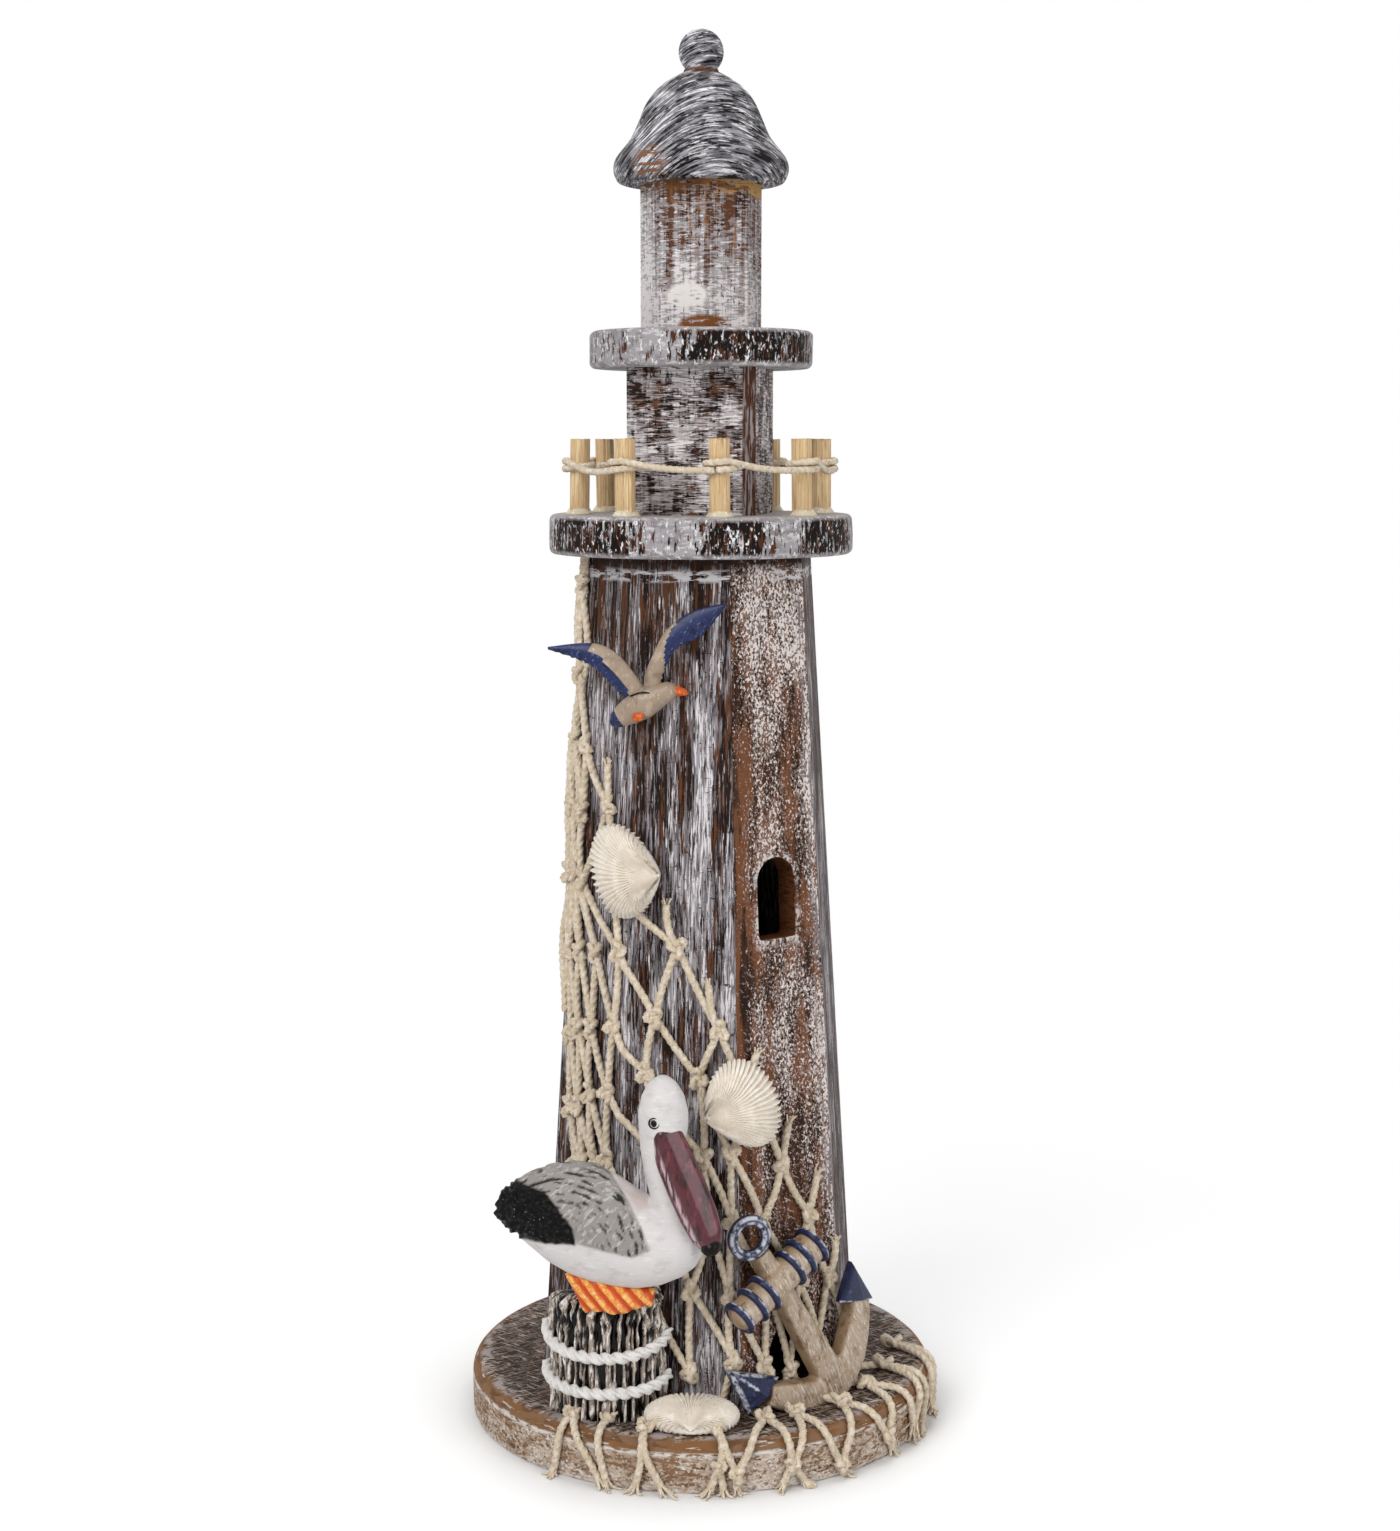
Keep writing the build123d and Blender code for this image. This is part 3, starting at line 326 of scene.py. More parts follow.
# Stained pine under a nearly dry brush gives long matt streaks, from near black to chalk white.
bands = marks((4.5, 4.5, 70), 0.36, 0.64, place=5)
patches = marks((13, 13, 24), 0.36, 0.64, place=9)
worn = [(bands, 0.13), (patches, 0.09), (above(205, 232), -0.02)]
head_line = [above(234.4, 235.4), above(238.4, 237.4)]
stave_layers = [
    ("#241711", []),
    ("#5D3A27", [marks((2.2, 2.2, 44), 0.47, 0.56, place=7)]),
    ("#100A08", [marks((0.6, 0.6, 34), 0.5, 0.56, place=40)]),
    ("#6E686B", [marks((0.7, 0.7, 38), 0.59, 0.635, swell=worn)]),
    ("#9D989C", [marks((0.6, 0.6, 26), 0.645, 0.685, place=21, swell=worn)]),
    ("#DCD7DA", [marks((0.55, 0.55, 16), 0.69, 0.73, place=31, swell=worn)]),
    ("#211611", [marks((0.55, 0.55, 14), 0.585, 0.63, place=14)]),
    ("#2B1B15", [marks((1.8, 1.8, 0.4), 0.61, 0.65, place=24), marks((6, 6, 12), 0.44, 0.52, place=3)]),
    ("#4B2C1D", [
        marks((3.0, 3.0, 1.2), 0.62, 0.65, place=14),
        marks((14, 14, 30), 0.46, 0.54, place=28),
    ]),
    ("#54331F", [above(196, 226), marks((2.6, 2.6, 36), 0.53, 0.57, place=17)]),
    ("#D6D2D4", [*head_line, marks((5, 5, 1.2), 0.46, 0.53)]),
    # Painted shade: a patchy dark band at the top of the staves, where the gallery's overhang casts its
    # shadow.
    ("#2A1A13", [above(237.4, 239.6), marks((2.4, 2.4, 4), 0.3, 0.5, place=6)]),
]
stave_finish = painted("dry_brushed_pine", stave_layers)
for stave in ("front", "right", "back_right", "back", "back_left", "left", "front_left"):
    refinish("stave_" + stave, stave_finish)

# Window stave: the same pine, wiped almost bare, so that the paint is a salt-and-pepper speckle on brown.
# The window and door were sawn after staining: their reveals are raw wood, ringed with caught paint.
UPRIGHT = Vector((0, 0, 1))
WINDOW_AZIMUTH = FRONT_TURN + STAVE_STEP
WINDOW_SPRING = 155.3
# How far behind the stave's face its reveals start and are all raw wood.
REVEAL_FADE = (0.25, 0.8)


def placed(azimuth, reach, height):
    """Point at an azimuth, a distance from the axis and a height."""
    return outward(azimuth) * reach + UPRIGHT * height


def off_stave(azimuth):
    """Unit vector square to the leaning face of a stave."""
    return outward(azimuth) * math.cos(LEAN) + UPRIGHT * math.sin(LEAN)


window_right = rightward(WINDOW_AZIMUTH)
face_normal = off_stave(WINDOW_AZIMUTH)
face_depth = FOOT_FLATS * math.cos(LEAN) + BASE_TOP * math.sin(LEAN)
half_stave = math.radians(STAVE_STEP / 2)
taper = Vector((0, 0, (FOOT_FLATS - HEAD_FLATS) * math.tan(half_stave) / TOWER_HEIGHT))
right_edge = across(window_right + taper, 13.0, 17.0)
left_edge = across(-window_right + taper, 9.5, 14.5)
arch_reach = FOOT_FLATS - (WINDOW_SPRING - BASE_TOP) * math.tan(LEAN)
arch_middle = placed(WINDOW_AZIMUTH, arch_reach, WINDOW_SPRING)
in_reveal = across(face_normal, *[face_depth - behind for behind in REVEAL_FADE])
# Wiped pine gives a warm brown with fine pale specks, and the sawn reveals a plain tan.
dusted = [
    (marks((7, 7, 30), 0.34, 0.66, place=17), 0.11),
    (right_edge, 0.07),
    (left_edge, -0.06),
    (above(190, 225), 0.05),
]
window_layers = [
    ("#3F281D", []),
    ("#27170F", [marks((2.0, 2.0, 16), 0.5, 0.58, place=15)]),
    ("#744A31", [marks((4, 4, 26), 0.47, 0.57, place=33)]),
    ("#8C7870", [marks((0.7, 0.7, 1.0), 0.59, 0.615, swell=dusted)]),
    ("#E6DDD9", [marks((0.65, 0.65, 0.9), 0.62, 0.645, place=9, swell=dusted)]),
    ("#CFC7C4", [marks((2.6, 2.6, 0.5), 0.6, 0.64, turn=(0, 38, 0), place=4), above(150, 90)]),
    ("#827B7E", [right_edge, marks((0.8, 0.8, 26), 0.52, 0.57, place=22)]),
    ("#D3CCC9", [
        around(arch_middle, 8.4, 7.0),
        above(153.0, 156.0),
        marks((1.2, 1.2, 1.2), 0.48, 0.54),
    ]),
    ("#D3CCC9", [
        across(window_right, -8.4, -7.0),
        across(window_right, 8.4, 7.0),
        above(136.8, 139.2),
        above(152.0, 146.0),
        marks((1.2, 1.2, 1.6), 0.48, 0.54),
    ]),
    ("#D6D2D4", [*head_line, across(window_right, 0, 5), marks((5, 5, 1.2), 0.44, 0.52)]),
    # Painted shade: a patchy dark band at the top of the stave, where the gallery's overhang casts its
    # shadow.
    ("#2A1A13", [above(237.6, 239.6), marks((2.4, 2.4, 4), 0.3, 0.5, place=6)]),
    ("#5E3820", [in_reveal]),
    ("#3F2313", [in_reveal, marks((3, 3, 0.8), 0.48, 0.6)]),
]
window_finish = painted("wiped_pine", window_layers)
refinish("stave_front_right", window_finish)

# Gallery and lantern floors: turned pine discs, pinned between the blocks and painted grey.
# The brush ran across the rim, so the turning ridges show as dark ticks between rubbed white edges.
GALLERY_RADIUS = 41.3
GALLERY_TOP = 251.9
LANTERN_FLOOR_RADIUS = 30.2
LANTERN_FLOOR_TOP = 300.8
LANTERN_FLOOR_FOOT = 290.9
DISC_EASE = 1.6
DISC_DENT = 0.35
# Shares of a floor's radius where its underside and its top have extra rings.
FLOOR_UNDER = 0.6
FLOOR_TOP_RINGS = (0.8, 0.5)
# Where the rim's ticks start and are full, up from its foot and down from its top, and the top's own skin.
TICKS_UP = (0.6, 1.6)
TICKS_DOWN = (0.5, 1.4)
TOP_SKIN = 0.25
# The share of a cluster's reach where its ticks are densest, and how much denser they are.
CLUSTER_CORE = 0.6
CLUSTER_CROWD = 0.15


def turned_floor(name, radius, foot, top, finish, node):
    """Turned disc with eased edges that stands for a floor of the tower."""
    profile = [
        (0.0, foot),
        (radius * FLOOR_UNDER, foot),
        *eased((radius - DISC_EASE, foot), (radius, foot), (radius, foot + DISC_EASE)),
        (radius, (foot + top) / 2),
        *eased((radius, top - DISC_EASE), (radius, top), (radius - DISC_EASE, top)),
        *[(radius * share, top) for share in FLOOR_TOP_RINGS],
        (0.0, top),
    ]
    floor_disc = turned(name, profile, finish, dent=DISC_DENT)
    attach(floor_disc, "root")
    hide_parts(node)


def floor_layers(foot, top, place, clusters):
    """Layers of a turned floor: chalky grey, with clusters of dark ticks on the rim and white edges."""
    on_rim = [above(*[foot + rise for rise in TICKS_UP]), above(*[top - drop for drop in TICKS_DOWN])]
    crowded = [(around(spot, reach, CLUSTER_CORE * reach), CLUSTER_CROWD) for spot, reach in clusters]
    crowded.append((marks((7, 7, 30), 0.36, 0.64, place=place + 3), 0.05))
    on_top = above(top - TOP_SKIN, top)
    return [
        ("#A29EA1", []),
        ("#8A8486", [marks((5, 5, 3), 0.46, 0.58, place=place)]),
        ("#C6C2C5", [marks((3.0, 3.0, 1.2), 0.52, 0.6, place=place + 4)]),
        ("#4C2C1B", [*on_rim, marks((1.2, 1.2, 6), 0.61, 0.65, place=place + 8, swell=crowded)]),
        ("#0F0907", [*on_rim, marks((1.0, 1.0, 5), 0.625, 0.655, place=place + 12, swell=crowded)]),
        ("#E8E6E8", [marks((1.0, 1.0, 2.0), 0.58, 0.63, place=place + 16)]),
        ("#A49C97", [on_top, marks((4, 4, 4), 0.3, 0.6, place=place + 2)]),
        ("#CEC6C0", [on_top, marks((2.5, 0.8, 2), 0.51, 0.59, turn=(0, 0, 15), place=place + 9)]),
        ("#4A3A32", [on_top, marks((5, 1.0, 2), 0.63, 0.67, turn=(0, 0, 30), place=place + 6)]),
    ]


# Clusters of ticks on each rim: a place on the rim and how far the ticks reach from it.
gallery_clusters = [
    ((-30, -28, 246.5), 22),
    ((9, -40, 246.5), 11),
    ((34, -23, 246.5), 15),
    ((0, 41, 246.5), 26),
]
lantern_clusters = [((15, -26, 295.8), 26), ((-12, 28, 295.8), 20)]
gallery_finish = painted("ticked_gallery_pine", floor_layers(TOWER_TOP, GALLERY_TOP, 0, gallery_clusters))
turned_floor("gallery_floor", GALLERY_RADIUS, TOWER_TOP, GALLERY_TOP, gallery_finish, "gallery_disc")
lantern_rim_layers = floor_layers(LANTERN_FLOOR_FOOT, LANTERN_FLOOR_TOP, 50, lantern_clusters)
lantern_floor_finish = painted("ticked_lantern_pine", lantern_rim_layers)
turned_floor(
    "lantern_floor",
    LANTERN_FLOOR_RADIUS,
    LANTERN_FLOOR_FOOT,
    LANTERN_FLOOR_TOP,
    lantern_floor_finish,
    "lantern_disc",
)

# Watch room and lantern room: sawn pine blocks, one square with chamfered corners and one eight-sided.
# Paint was dragged across their grain, and wiped off again in upright brown bars.
WATCH_CORNER = 34.4
WATCH_CORNER_REACH = 22.3
CORNER_FADE = 0.3
# Sawn pine with dragged paint gives short level strokes of grey and white over dark brown.
dragged = [
    (marks((7, 7, 7), 0.34, 0.66, place=6), 0.15),
    (marks((1.3, 1.3, 16), 0.36, 0.64, place=44), 0.05),
]
on_corner = across(outward(WATCH_CORNER), WATCH_CORNER_REACH, WATCH_CORNER_REACH + CORNER_FADE)
block_layers = [
    ("#2E1B13", []),
    ("#6A442E", [marks((6, 6, 8), 0.52, 0.58, place=18)]),
    ("#140B08", [marks((4, 4, 0.9), 0.48, 0.54, place=3)]),
    ("#857C7D", [marks((5.0, 5.0, 0.6), 0.57, 0.62, swell=dragged)]),
    ("#B8B1B2", [marks((4.6, 4.6, 0.5), 0.615, 0.65, place=13, swell=dragged)]),
    ("#E6E0E1", [marks((4.2, 4.2, 0.5), 0.665, 0.7, place=23, swell=dragged)]),
    ("#170E0A", [marks((0.8, 0.8, 2.6), 0.58, 0.61, place=26), above(276, 290)]),
    ("#4A2B1B", [on_corner]),
    ("#948C8D", [on_corner, marks((0.8, 0.8, 9), 0.5, 0.56, place=8)]),
]
block_finish = painted("dragged_paint_pine", block_layers)
scraped = [
    (marks((1.3, 1.3, 34), 0.36, 0.64, place=36), 0.12),
    (marks((6, 6, 10), 0.36, 0.64, place=2), 0.07),
    (above(324, 308), 0.1),
    (above(322, 336), -0.05),
    (across((1, 0, 0), -11.0, -14.0), 0.12),
]
# The lantern room's paint is scraped thinner: tan wood shows, with one white blob and one bare patch.
BLOB = (-4.0, -15.4, 309.6)
BARE_PATCH = (1.0, -16.0, 301.4)
lantern_layers = [
    ("#5C3A28", []),
    ("#2E1B13", [marks((1.2, 1.2, 14), 0.52, 0.58, place=9)]),
    ("#8C5F3D", [marks((2.6, 2.6, 18), 0.55, 0.62, place=29)]),
    ("#8B8283", [marks((3.4, 3.4, 0.7), 0.56, 0.61, place=2, swell=scraped)]),
    ("#ABA5A6", [marks((3.0, 3.0, 0.6), 0.61, 0.66, place=15, swell=scraped)]),
    ("#DCD7D7", [marks((2.8, 2.8, 0.6), 0.68, 0.73, place=29, swell=scraped)]),
    ("#2B1A13", [marks((0.8, 0.8, 3), 0.62, 0.65, place=6)]),
    ("#7A4A27", [around(BARE_PATCH, 5.4, 4.4, (0.65, 0.65, 1.6)), marks((4, 4, 1.2), 0.38, 0.46)]),
    ("#E2DDDA", [around(BLOB, 4.7, 3.7, (0.72, 0.72, 1.35)), marks((4, 4, 0.9), 0.34, 0.44, place=4)]),
    ("#7A5230", [above(336.4, 337.4), marks((5, 5, 1.2), 0.44, 0.52)]),
    ("#B08A58", [above(335.4, 336.2), across((1, 0, 0), 0, 3), marks((6, 6, 1.0), 0.46, 0.52, place=7)]),
]
lantern_finish = painted("dragged_paint_lantern_pine", lantern_layers)
refinish("watch_room", block_finish)
refinish("lantern_room", lantern_finish)

# Bell cap and ball finial: turned in pine, the cap with a full rim, a cove and a dome.
# They were painted last with a nearly dry brush, whose slanting strokes leave dark gaps.
CAP_FOOT = 339.6
CAP_TOP = 368.6
CAP_UNDER = 15.0
CAP_DENT = 0.25
# The cap's outline from its foot to the ball: radius and height.
CAP_PROFILE = [
    (19.6, 339.6),
    (21.9, 339.95),
    (23.1, 341.9),
    (23.5, 344.0),
    (23.0, 346.1),
    (21.6, 348.1),
    (19.8, 350.2),
    (18.4, 352.0),
    (17.4, 354.2),
    (16.4, 356.9),
    (14.9, 360.0),
    (12.7, 363.2),
    (9.9, 365.9),
    (6.4, 367.9),
    (5.0, 368.6),
]
BALL_RADIUS = 6.0
BALL_CENTRE = 374.0
BALL_DENT = 0.15
BALL_STEPS = 24
BALL_SIDES = 64
COLLAR_RADIUS = 4.7
COLLAR_EASE = (0.3, 0.5)
COLLAR_HEIGHT = 1.2


def smooth_line(spots, steps):
    """Even curve through points, a few steps to each of its stretches."""
    ends = [spots[0], *spots, spots[-1]]
    line = []
    for a, b, c, d in zip(ends, ends[1:], ends[2:], ends[3:]):
        a, b, c, d = (np.array(p, float) for p in (a, b, c, d))
        for k in range(steps):
            t = k / steps
            square = (2 * a - 5 * b + 4 * c - d) * t**2
            line.append(0.5 * (2 * b + (c - a) * t + square + (3 * b - a - 3 * c + d) * t**3))
    line.append(np.array(spots[-1], float))
    return [tuple(p) for p in line]


# A nearly dry brush gives thin slanting strokes of grey and white, bent round the cap over near black.
swept = [(marks((8, 8, 6), 0.36, 0.64, place=6), 0.1)]
cap_layers = [
    ("#181416", []),
    ("#0B0809", [marks((8, 8, 0.8), 0.5, 0.56, turn=(0, -14, 0), place=8, arch=22)]),
    ("#636166", [marks((9, 9, 0.75), 0.5, 0.55, turn=(0, -16, 0), swell=swept, arch=22)]),
    ("#9B999E", [marks((8, 8, 0.65), 0.555, 0.595, turn=(0, -18, 0), place=19, swell=swept, arch=20)]),
    ("#E4E2E5", [marks((7, 7, 0.55), 0.615, 0.65, turn=(0, -12, 0), place=33, swell=swept, arch=18)]),
    ("#141011", [marks((6, 6, 0.5), 0.59, 0.62, turn=(0, -20, 0), place=13, arch=20)]),
    ("#7F5A45", [around((-14, -19, 342.5), 7, 4), marks((8, 8, 1.2), 0.46, 0.54, place=5)]),
    ("#6A4733", [above(367.4, 368.4), above(370.2, 369.2), marks((3, 3, 1), 0.4, 0.5)]),
]
cap_finish = painted("slant_brushed_pine", cap_layers)
cap_profile = [(0.0, CAP_FOOT), (CAP_UNDER, CAP_FOOT), *smooth_line(CAP_PROFILE, steps=4), (0.0, CAP_TOP)]
cap_wood = turned("cap_wood", cap_profile, cap_finish, dent=CAP_DENT)
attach(cap_wood, "root")
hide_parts("bell_cap")
neck_start = math.acos(-(BALL_CENTRE - CAP_TOP - COLLAR_HEIGHT) / BALL_RADIUS)
ball_profile = [
    (0.0, CAP_TOP),
    (COLLAR_RADIUS - COLLAR_EASE[0], CAP_TOP),
    (COLLAR_RADIUS, CAP_TOP + COLLAR_EASE[1]),
]
for k in range(BALL_STEPS + 1):
    polar = neck_start * (1 - k / BALL_STEPS)
    ball_profile.append((BALL_RADIUS * math.sin(polar), BALL_CENTRE + BALL_RADIUS * math.cos(polar)))
ball_wood = turned("ball_wood", ball_profile, cap_finish, dent=BALL_DENT, sides=BALL_SIDES)
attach(ball_wood, "root")
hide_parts("ball_finial")

# Hidden dowels: three plain birch pins, cut from stock rod and left bare.
# They are glued into blind sockets and hold the stacked blocks in line.
# Bare birch gives an even pale tan with faint long grain.
dowel_finish = painted(
    "birch_dowel",
    [("#C9A87C", []), ("#B08B5E", [marks((0.8, 0.8, 9), 0.48, 0.6)])],
)
for dowel in ("gallery_dowel", "lantern_dowel", "cap_dowel"):
    refinish(dowel, dowel_finish)

# Rail posts: eight short lengths of split bamboo, sawn square at the top, with fine upright fibres.
# Each stands in a bead of hot glue on the gallery, a little out of plumb.
POST_COUNT = 8
POST_RADIUS = 2.75
POST_HEIGHT = 20.3
POST_RING = 33.3
POST_START = 8.5
POST_SIDES = 40
POST_RINGS = 10
POST_TILT = 0.02
# How far single fibres lie in or out of the post's round, how oval it is, and how ragged its sawn top.
FIBRE_DEPTH = (-0.16, 0.1)
POST_OVAL = 0.1
POST_RAGGED = 0.25
# Each bead of glue from the post outwards: distance from the post's middle and height.
BEAD = ((2.7, 1.5), (3.1, 1.0), (3.5, 0.4), (3.8, 0.0))
BEAD_INNER = 2.6
BEAD_SIDES = 24
# Lumps of a bead: depth, how many go round it, and how far they shift from bead to bead.
BEAD_LUMPS = ((0.16, 3, 1), (0.1, 5, 2))
POST_SEED = 8
# Bare split bamboo gives a warm straw colour with a faint gloss and fine darker fibres.
bamboo = painted(
    "split_bamboo",
    [
        ("#D3B489", []),
        ("#E8CFA4", [marks((0.7, 0.7, 14), 0.48, 0.6)]),
        ("#B1916A", [marks((0.35, 0.35, 12), 0.54, 0.64, place=5)]),
        ("#94784F", [marks((0.3, 0.3, 5), 0.62, 0.7, place=12)]),
        ("#9C7F57", [above(271.6, 272.1), marks((0.5, 0.5, 0.5), 0.5, 0.62)]),
    ],
    rough=(0.45, 0.55),
    relief=0.12,
)
# Hot glue gives milky, shiny lumps.
hot_glue = painted(
    "hot_glue",
    [("#D9CDB2", []), ("#F0EADB", [marks((1.2, 1.2, 1.0), 0.5, 0.65)])],
    rough=(0.15, 0.22),
    relief=0.1,
)


def gathered(forms):
    """Points and faces of several forms as one."""
    points = []
    faces = []
    for form_points, form_faces in forms:
        first = len(points)
        points.extend(form_points)
        faces.extend(tuple(first + k for k in face) for face in form_faces)
    return points, faces


beads = []
shaver = random.Random(POST_SEED)
for index in range(POST_COUNT):
    azimuth = POST_START + index * 360 / POST_COUNT
    foot = outward(azimuth) * POST_RING
    tilt = Vector((shaver.uniform(-POST_TILT, POST_TILT), shaver.uniform(-POST_TILT, POST_TILT), 0))
    fibres = [shaver.uniform(*FIBRE_DEPTH) for _ in range(POST_SIDES)]
    rings = []
    for level in range(POST_RINGS + 1):
        rise = POST_HEIGHT * level / POST_RINGS
        ring = []
        for k in range(POST_SIDES):
            turn = 2 * math.pi * k / POST_SIDES
            reach = POST_RADIUS + fibres[k] + POST_OVAL * (math.sin(2 * turn + index) - 1)
            ragged = shaver.uniform(-POST_RAGGED, 0.0) if level == POST_RINGS else 0
            spot = foot + tilt * rise + Vector((math.cos(turn), math.sin(turn), 0)) * reach
            ring.append(spot + Vector((0, 0, GALLERY_TOP + rise + ragged)))
        rings.append(ring)
    post = new_piece(f"bamboo_post_{index + 1}", *lofted(rings), bamboo, smooth=False)
    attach(post, "root")
    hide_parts(f"rail_post_{index + 1}")
    rings = []
    for reach, rise in BEAD:
        ring = []
        for k in range(BEAD_SIDES):
            turn = 2 * math.pi * k / BEAD_SIDES
            lump = 1
            for depth, count, shift in BEAD_LUMPS:
                lump += depth * math.sin(count * turn + shift * index)
            way = Vector((math.cos(turn), math.sin(turn), 0)) * (BEAD_INNER + (reach - BEAD_INNER) * lump)
            ring.append(foot + way + Vector((0, 0, GALLERY_TOP + rise * lump)))
        rings.append(ring)
    beads.append(lofted(rings))
glue_beads = new_piece("glue_beads", *gathered(beads), hot_glue)
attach(glue_beads, "root")

# Rail cord: thin three-ply cotton, wound once round each post about two thirds of the way up.
# It is one closed length that hangs a little slack between the posts.
CORD_THICKNESS = 2.0
CORD_RISE = 13.3
CORD_SAG = 1.1
# How much the slack differs between spans, and how fast that changes round the rail.
SAG_UNEVEN = 0.5
SAG_CHANGE = 2.3
CORD_PITCH = 5.0
CORD_STEP = 0.6
# Each winding: how far it runs round the post past a full turn, its steps, and how far it climbs.
WRAP_EXTRA = 45.0
WRAP_STEPS = 25
WRAP_CLIMB = 2.3
WRAP_GAP = 0.1
SPAN_STEPS = 12
PLIES = 3
# Unbleached cotton gives a soft cream without gloss, darker between the plies.
cotton = painted(
    "unbleached_cotton_twine",
    [
        ("#D8C7AE", []),
        ("#EADDCB", [marks((1.6, 1.6, 1.6), 0.45, 0.6)]),
        ("#B29B7D", [marks((0.8, 0.8, 0.8), 0.58, 0.68, place=6)]),
        ("#F3EBDE", [marks((0.5, 0.5, 0.5), 0.6, 0.7, place=15)]),
    ],
    rough=(0.85, 0.95),
    relief=0.2,
    specular=0.15,
)

twine_tree = bpy.data.node_groups.new("plied_twine", "GeometryNodeTree")
twine_tree.interface.new_socket("Paths", in_out="INPUT", socket_type="NodeSocketGeometry")
for input_name in ("Thickness", "Ply Pitch", "Ply Depth", "Step"):
    twine_tree.interface.new_socket(input_name, in_out="INPUT", socket_type="NodeSocketFloat")
twine_tree.interface.new_socket("Sides", in_out="INPUT", socket_type="NodeSocketInt")
twine_tree.interface.new_socket("Finish", in_out="INPUT", socket_type="NodeSocketMaterial")
twine_tree.interface.new_socket("Twine", in_out="OUTPUT", socket_type="NodeSocketGeometry")
given = add_node(twine_tree, "NodeGroupInput", {}, {}).outputs
line = add_node(twine_tree, "GeometryNodeMeshToCurve", {}, {"Mesh": given["Paths"]})
sockets = {"Curve": line, "Length": given["Step"]}
line = add_node(twine_tree, "GeometryNodeResampleCurve", {"mode": "LENGTH"}, sockets)
along = add_node(twine_tree, "GeometryNodeSplineParameter", {}, {})
sockets = {0: along.outputs["Length"], 1: given["Ply Pitch"]}
turns = add_node(twine_tree, "ShaderNodeMath", {"operation": "DIVIDE"}, sockets)
twist = add_node(twine_tree, "ShaderNodeMath", {"operation": "MULTIPLY"}, {0: turns, 1: 2 * math.pi})
line = add_node(twine_tree, "GeometryNodeSetCurveTilt", {}, {"Curve": line, "Tilt": twist})
radius = add_node(twine_tree, "ShaderNodeMath", {"operation": "MULTIPLY"}, {0: given["Thickness"], 1: 0.5})
sockets = {"Resolution": given["Sides"], "Radius": radius}
ring = add_node(twine_tree, "GeometryNodeCurvePrimitiveCircle", {}, sockets)
sockets = {0: along.outputs["Factor"], 1: 2 * math.pi * PLIES}
plies = add_node(twine_tree, "ShaderNodeMath", {"operation": "MULTIPLY"}, sockets)
lobe = add_node(twine_tree, "ShaderNodeMath", {"operation": "COSINE"}, {0: plies})
lobe = add_node(twine_tree, "ShaderNodeMath", {"operation": "SUBTRACT"}, {0: lobe, 1: 1.0})
lobe = add_node(twine_tree, "ShaderNodeMath", {"operation": "MULTIPLY"}, {0: lobe, 1: given["Ply Depth"]})
lobe = add_node(twine_tree, "ShaderNodeMath", {"operation": "ADD"}, {0: lobe, 1: 1.0})
spot = add_node(twine_tree, "GeometryNodeInputPosition", {}, {})
spot = add_node(twine_tree, "ShaderNodeVectorMath", {"operation": "SCALE"}, {0: spot, "Scale": lobe})
sockets = {"Geometry": ring.outputs["Curve"], "Position": spot}
ring = add_node(twine_tree, "GeometryNodeSetPosition", {}, sockets)
sockets = {"Curve": line, "Profile Curve": ring, "Fill Caps": True}
tube = add_node(twine_tree, "GeometryNodeCurveToMesh", {}, sockets)
tube = add_node(twine_tree, "GeometryNodeSetShadeSmooth", {}, {"Geometry": tube})
tube = add_node(twine_tree, "GeometryNodeRealizeInstances", {}, {"Geometry": tube})
tube = add_node(twine_tree, "GeometryNodeSetMaterial", {}, {"Geometry": tube, "Material": given["Finish"]})
add_node(twine_tree, "NodeGroupOutput", {}, {"Twine": tube})


def applied(piece):
    """Piece with the mesh that its modifiers make."""
    evaluated = piece.evaluated_get(bpy.context.evaluated_depsgraph_get())
    made = bpy.data.meshes.new_from_object(evaluated)
    piece.modifiers.clear()
    piece.data = made
    return piece


def twisted(name, paths, thickness, pitch, finish, depth=0.1, step=0.8, sides=12):
    """Plied strands of one thickness along open or closed paths in millimetres, as one mesh object."""
    points = []
    edges = []
    for path, closed in paths:
        first = len(points)
        points.extend(Vector(p) * MM for p in path)
        edges.extend((first + k, first + k + 1) for k in range(len(path) - 1))
        if closed:
            edges.append((first + len(path) - 1, first))
    mesh = bpy.data.meshes.new(name)
    mesh.from_pydata(points, edges, [])
    strands = bpy.data.objects.new(name, mesh)
    bpy.context.scene.collection.objects.link(strands)
    spin = strands.modifiers.new("plies", "NODES")
    spin.node_group = twine_tree
    values = {
        "Thickness": thickness * MM,
        "Ply Pitch": pitch * MM,
        "Ply Depth": depth,
        "Step": step * MM,
        "Sides": sides,
        "Finish": finish,
    }
    for item in twine_tree.interface.items_tree:
        if item.in_out == "INPUT" and item.name in values:
            spin[item.identifier] = values[item.name]
    applied(strands)
    bpy.data.meshes.remove(mesh)
    return strands


def joined(name, parts):
    """One object from several that share a frame; each part keeps its own finish."""
    bpy.ops.object.select_all(action="DESELECT")
    for part in parts:
        part.select_set(True)
    bpy.context.view_layer.objects.active = parts[0]
    if len(parts) > 1:
        bpy.ops.object.join()
    parts[0].name = name
    parts[0].data.name = name
    return parts[0]


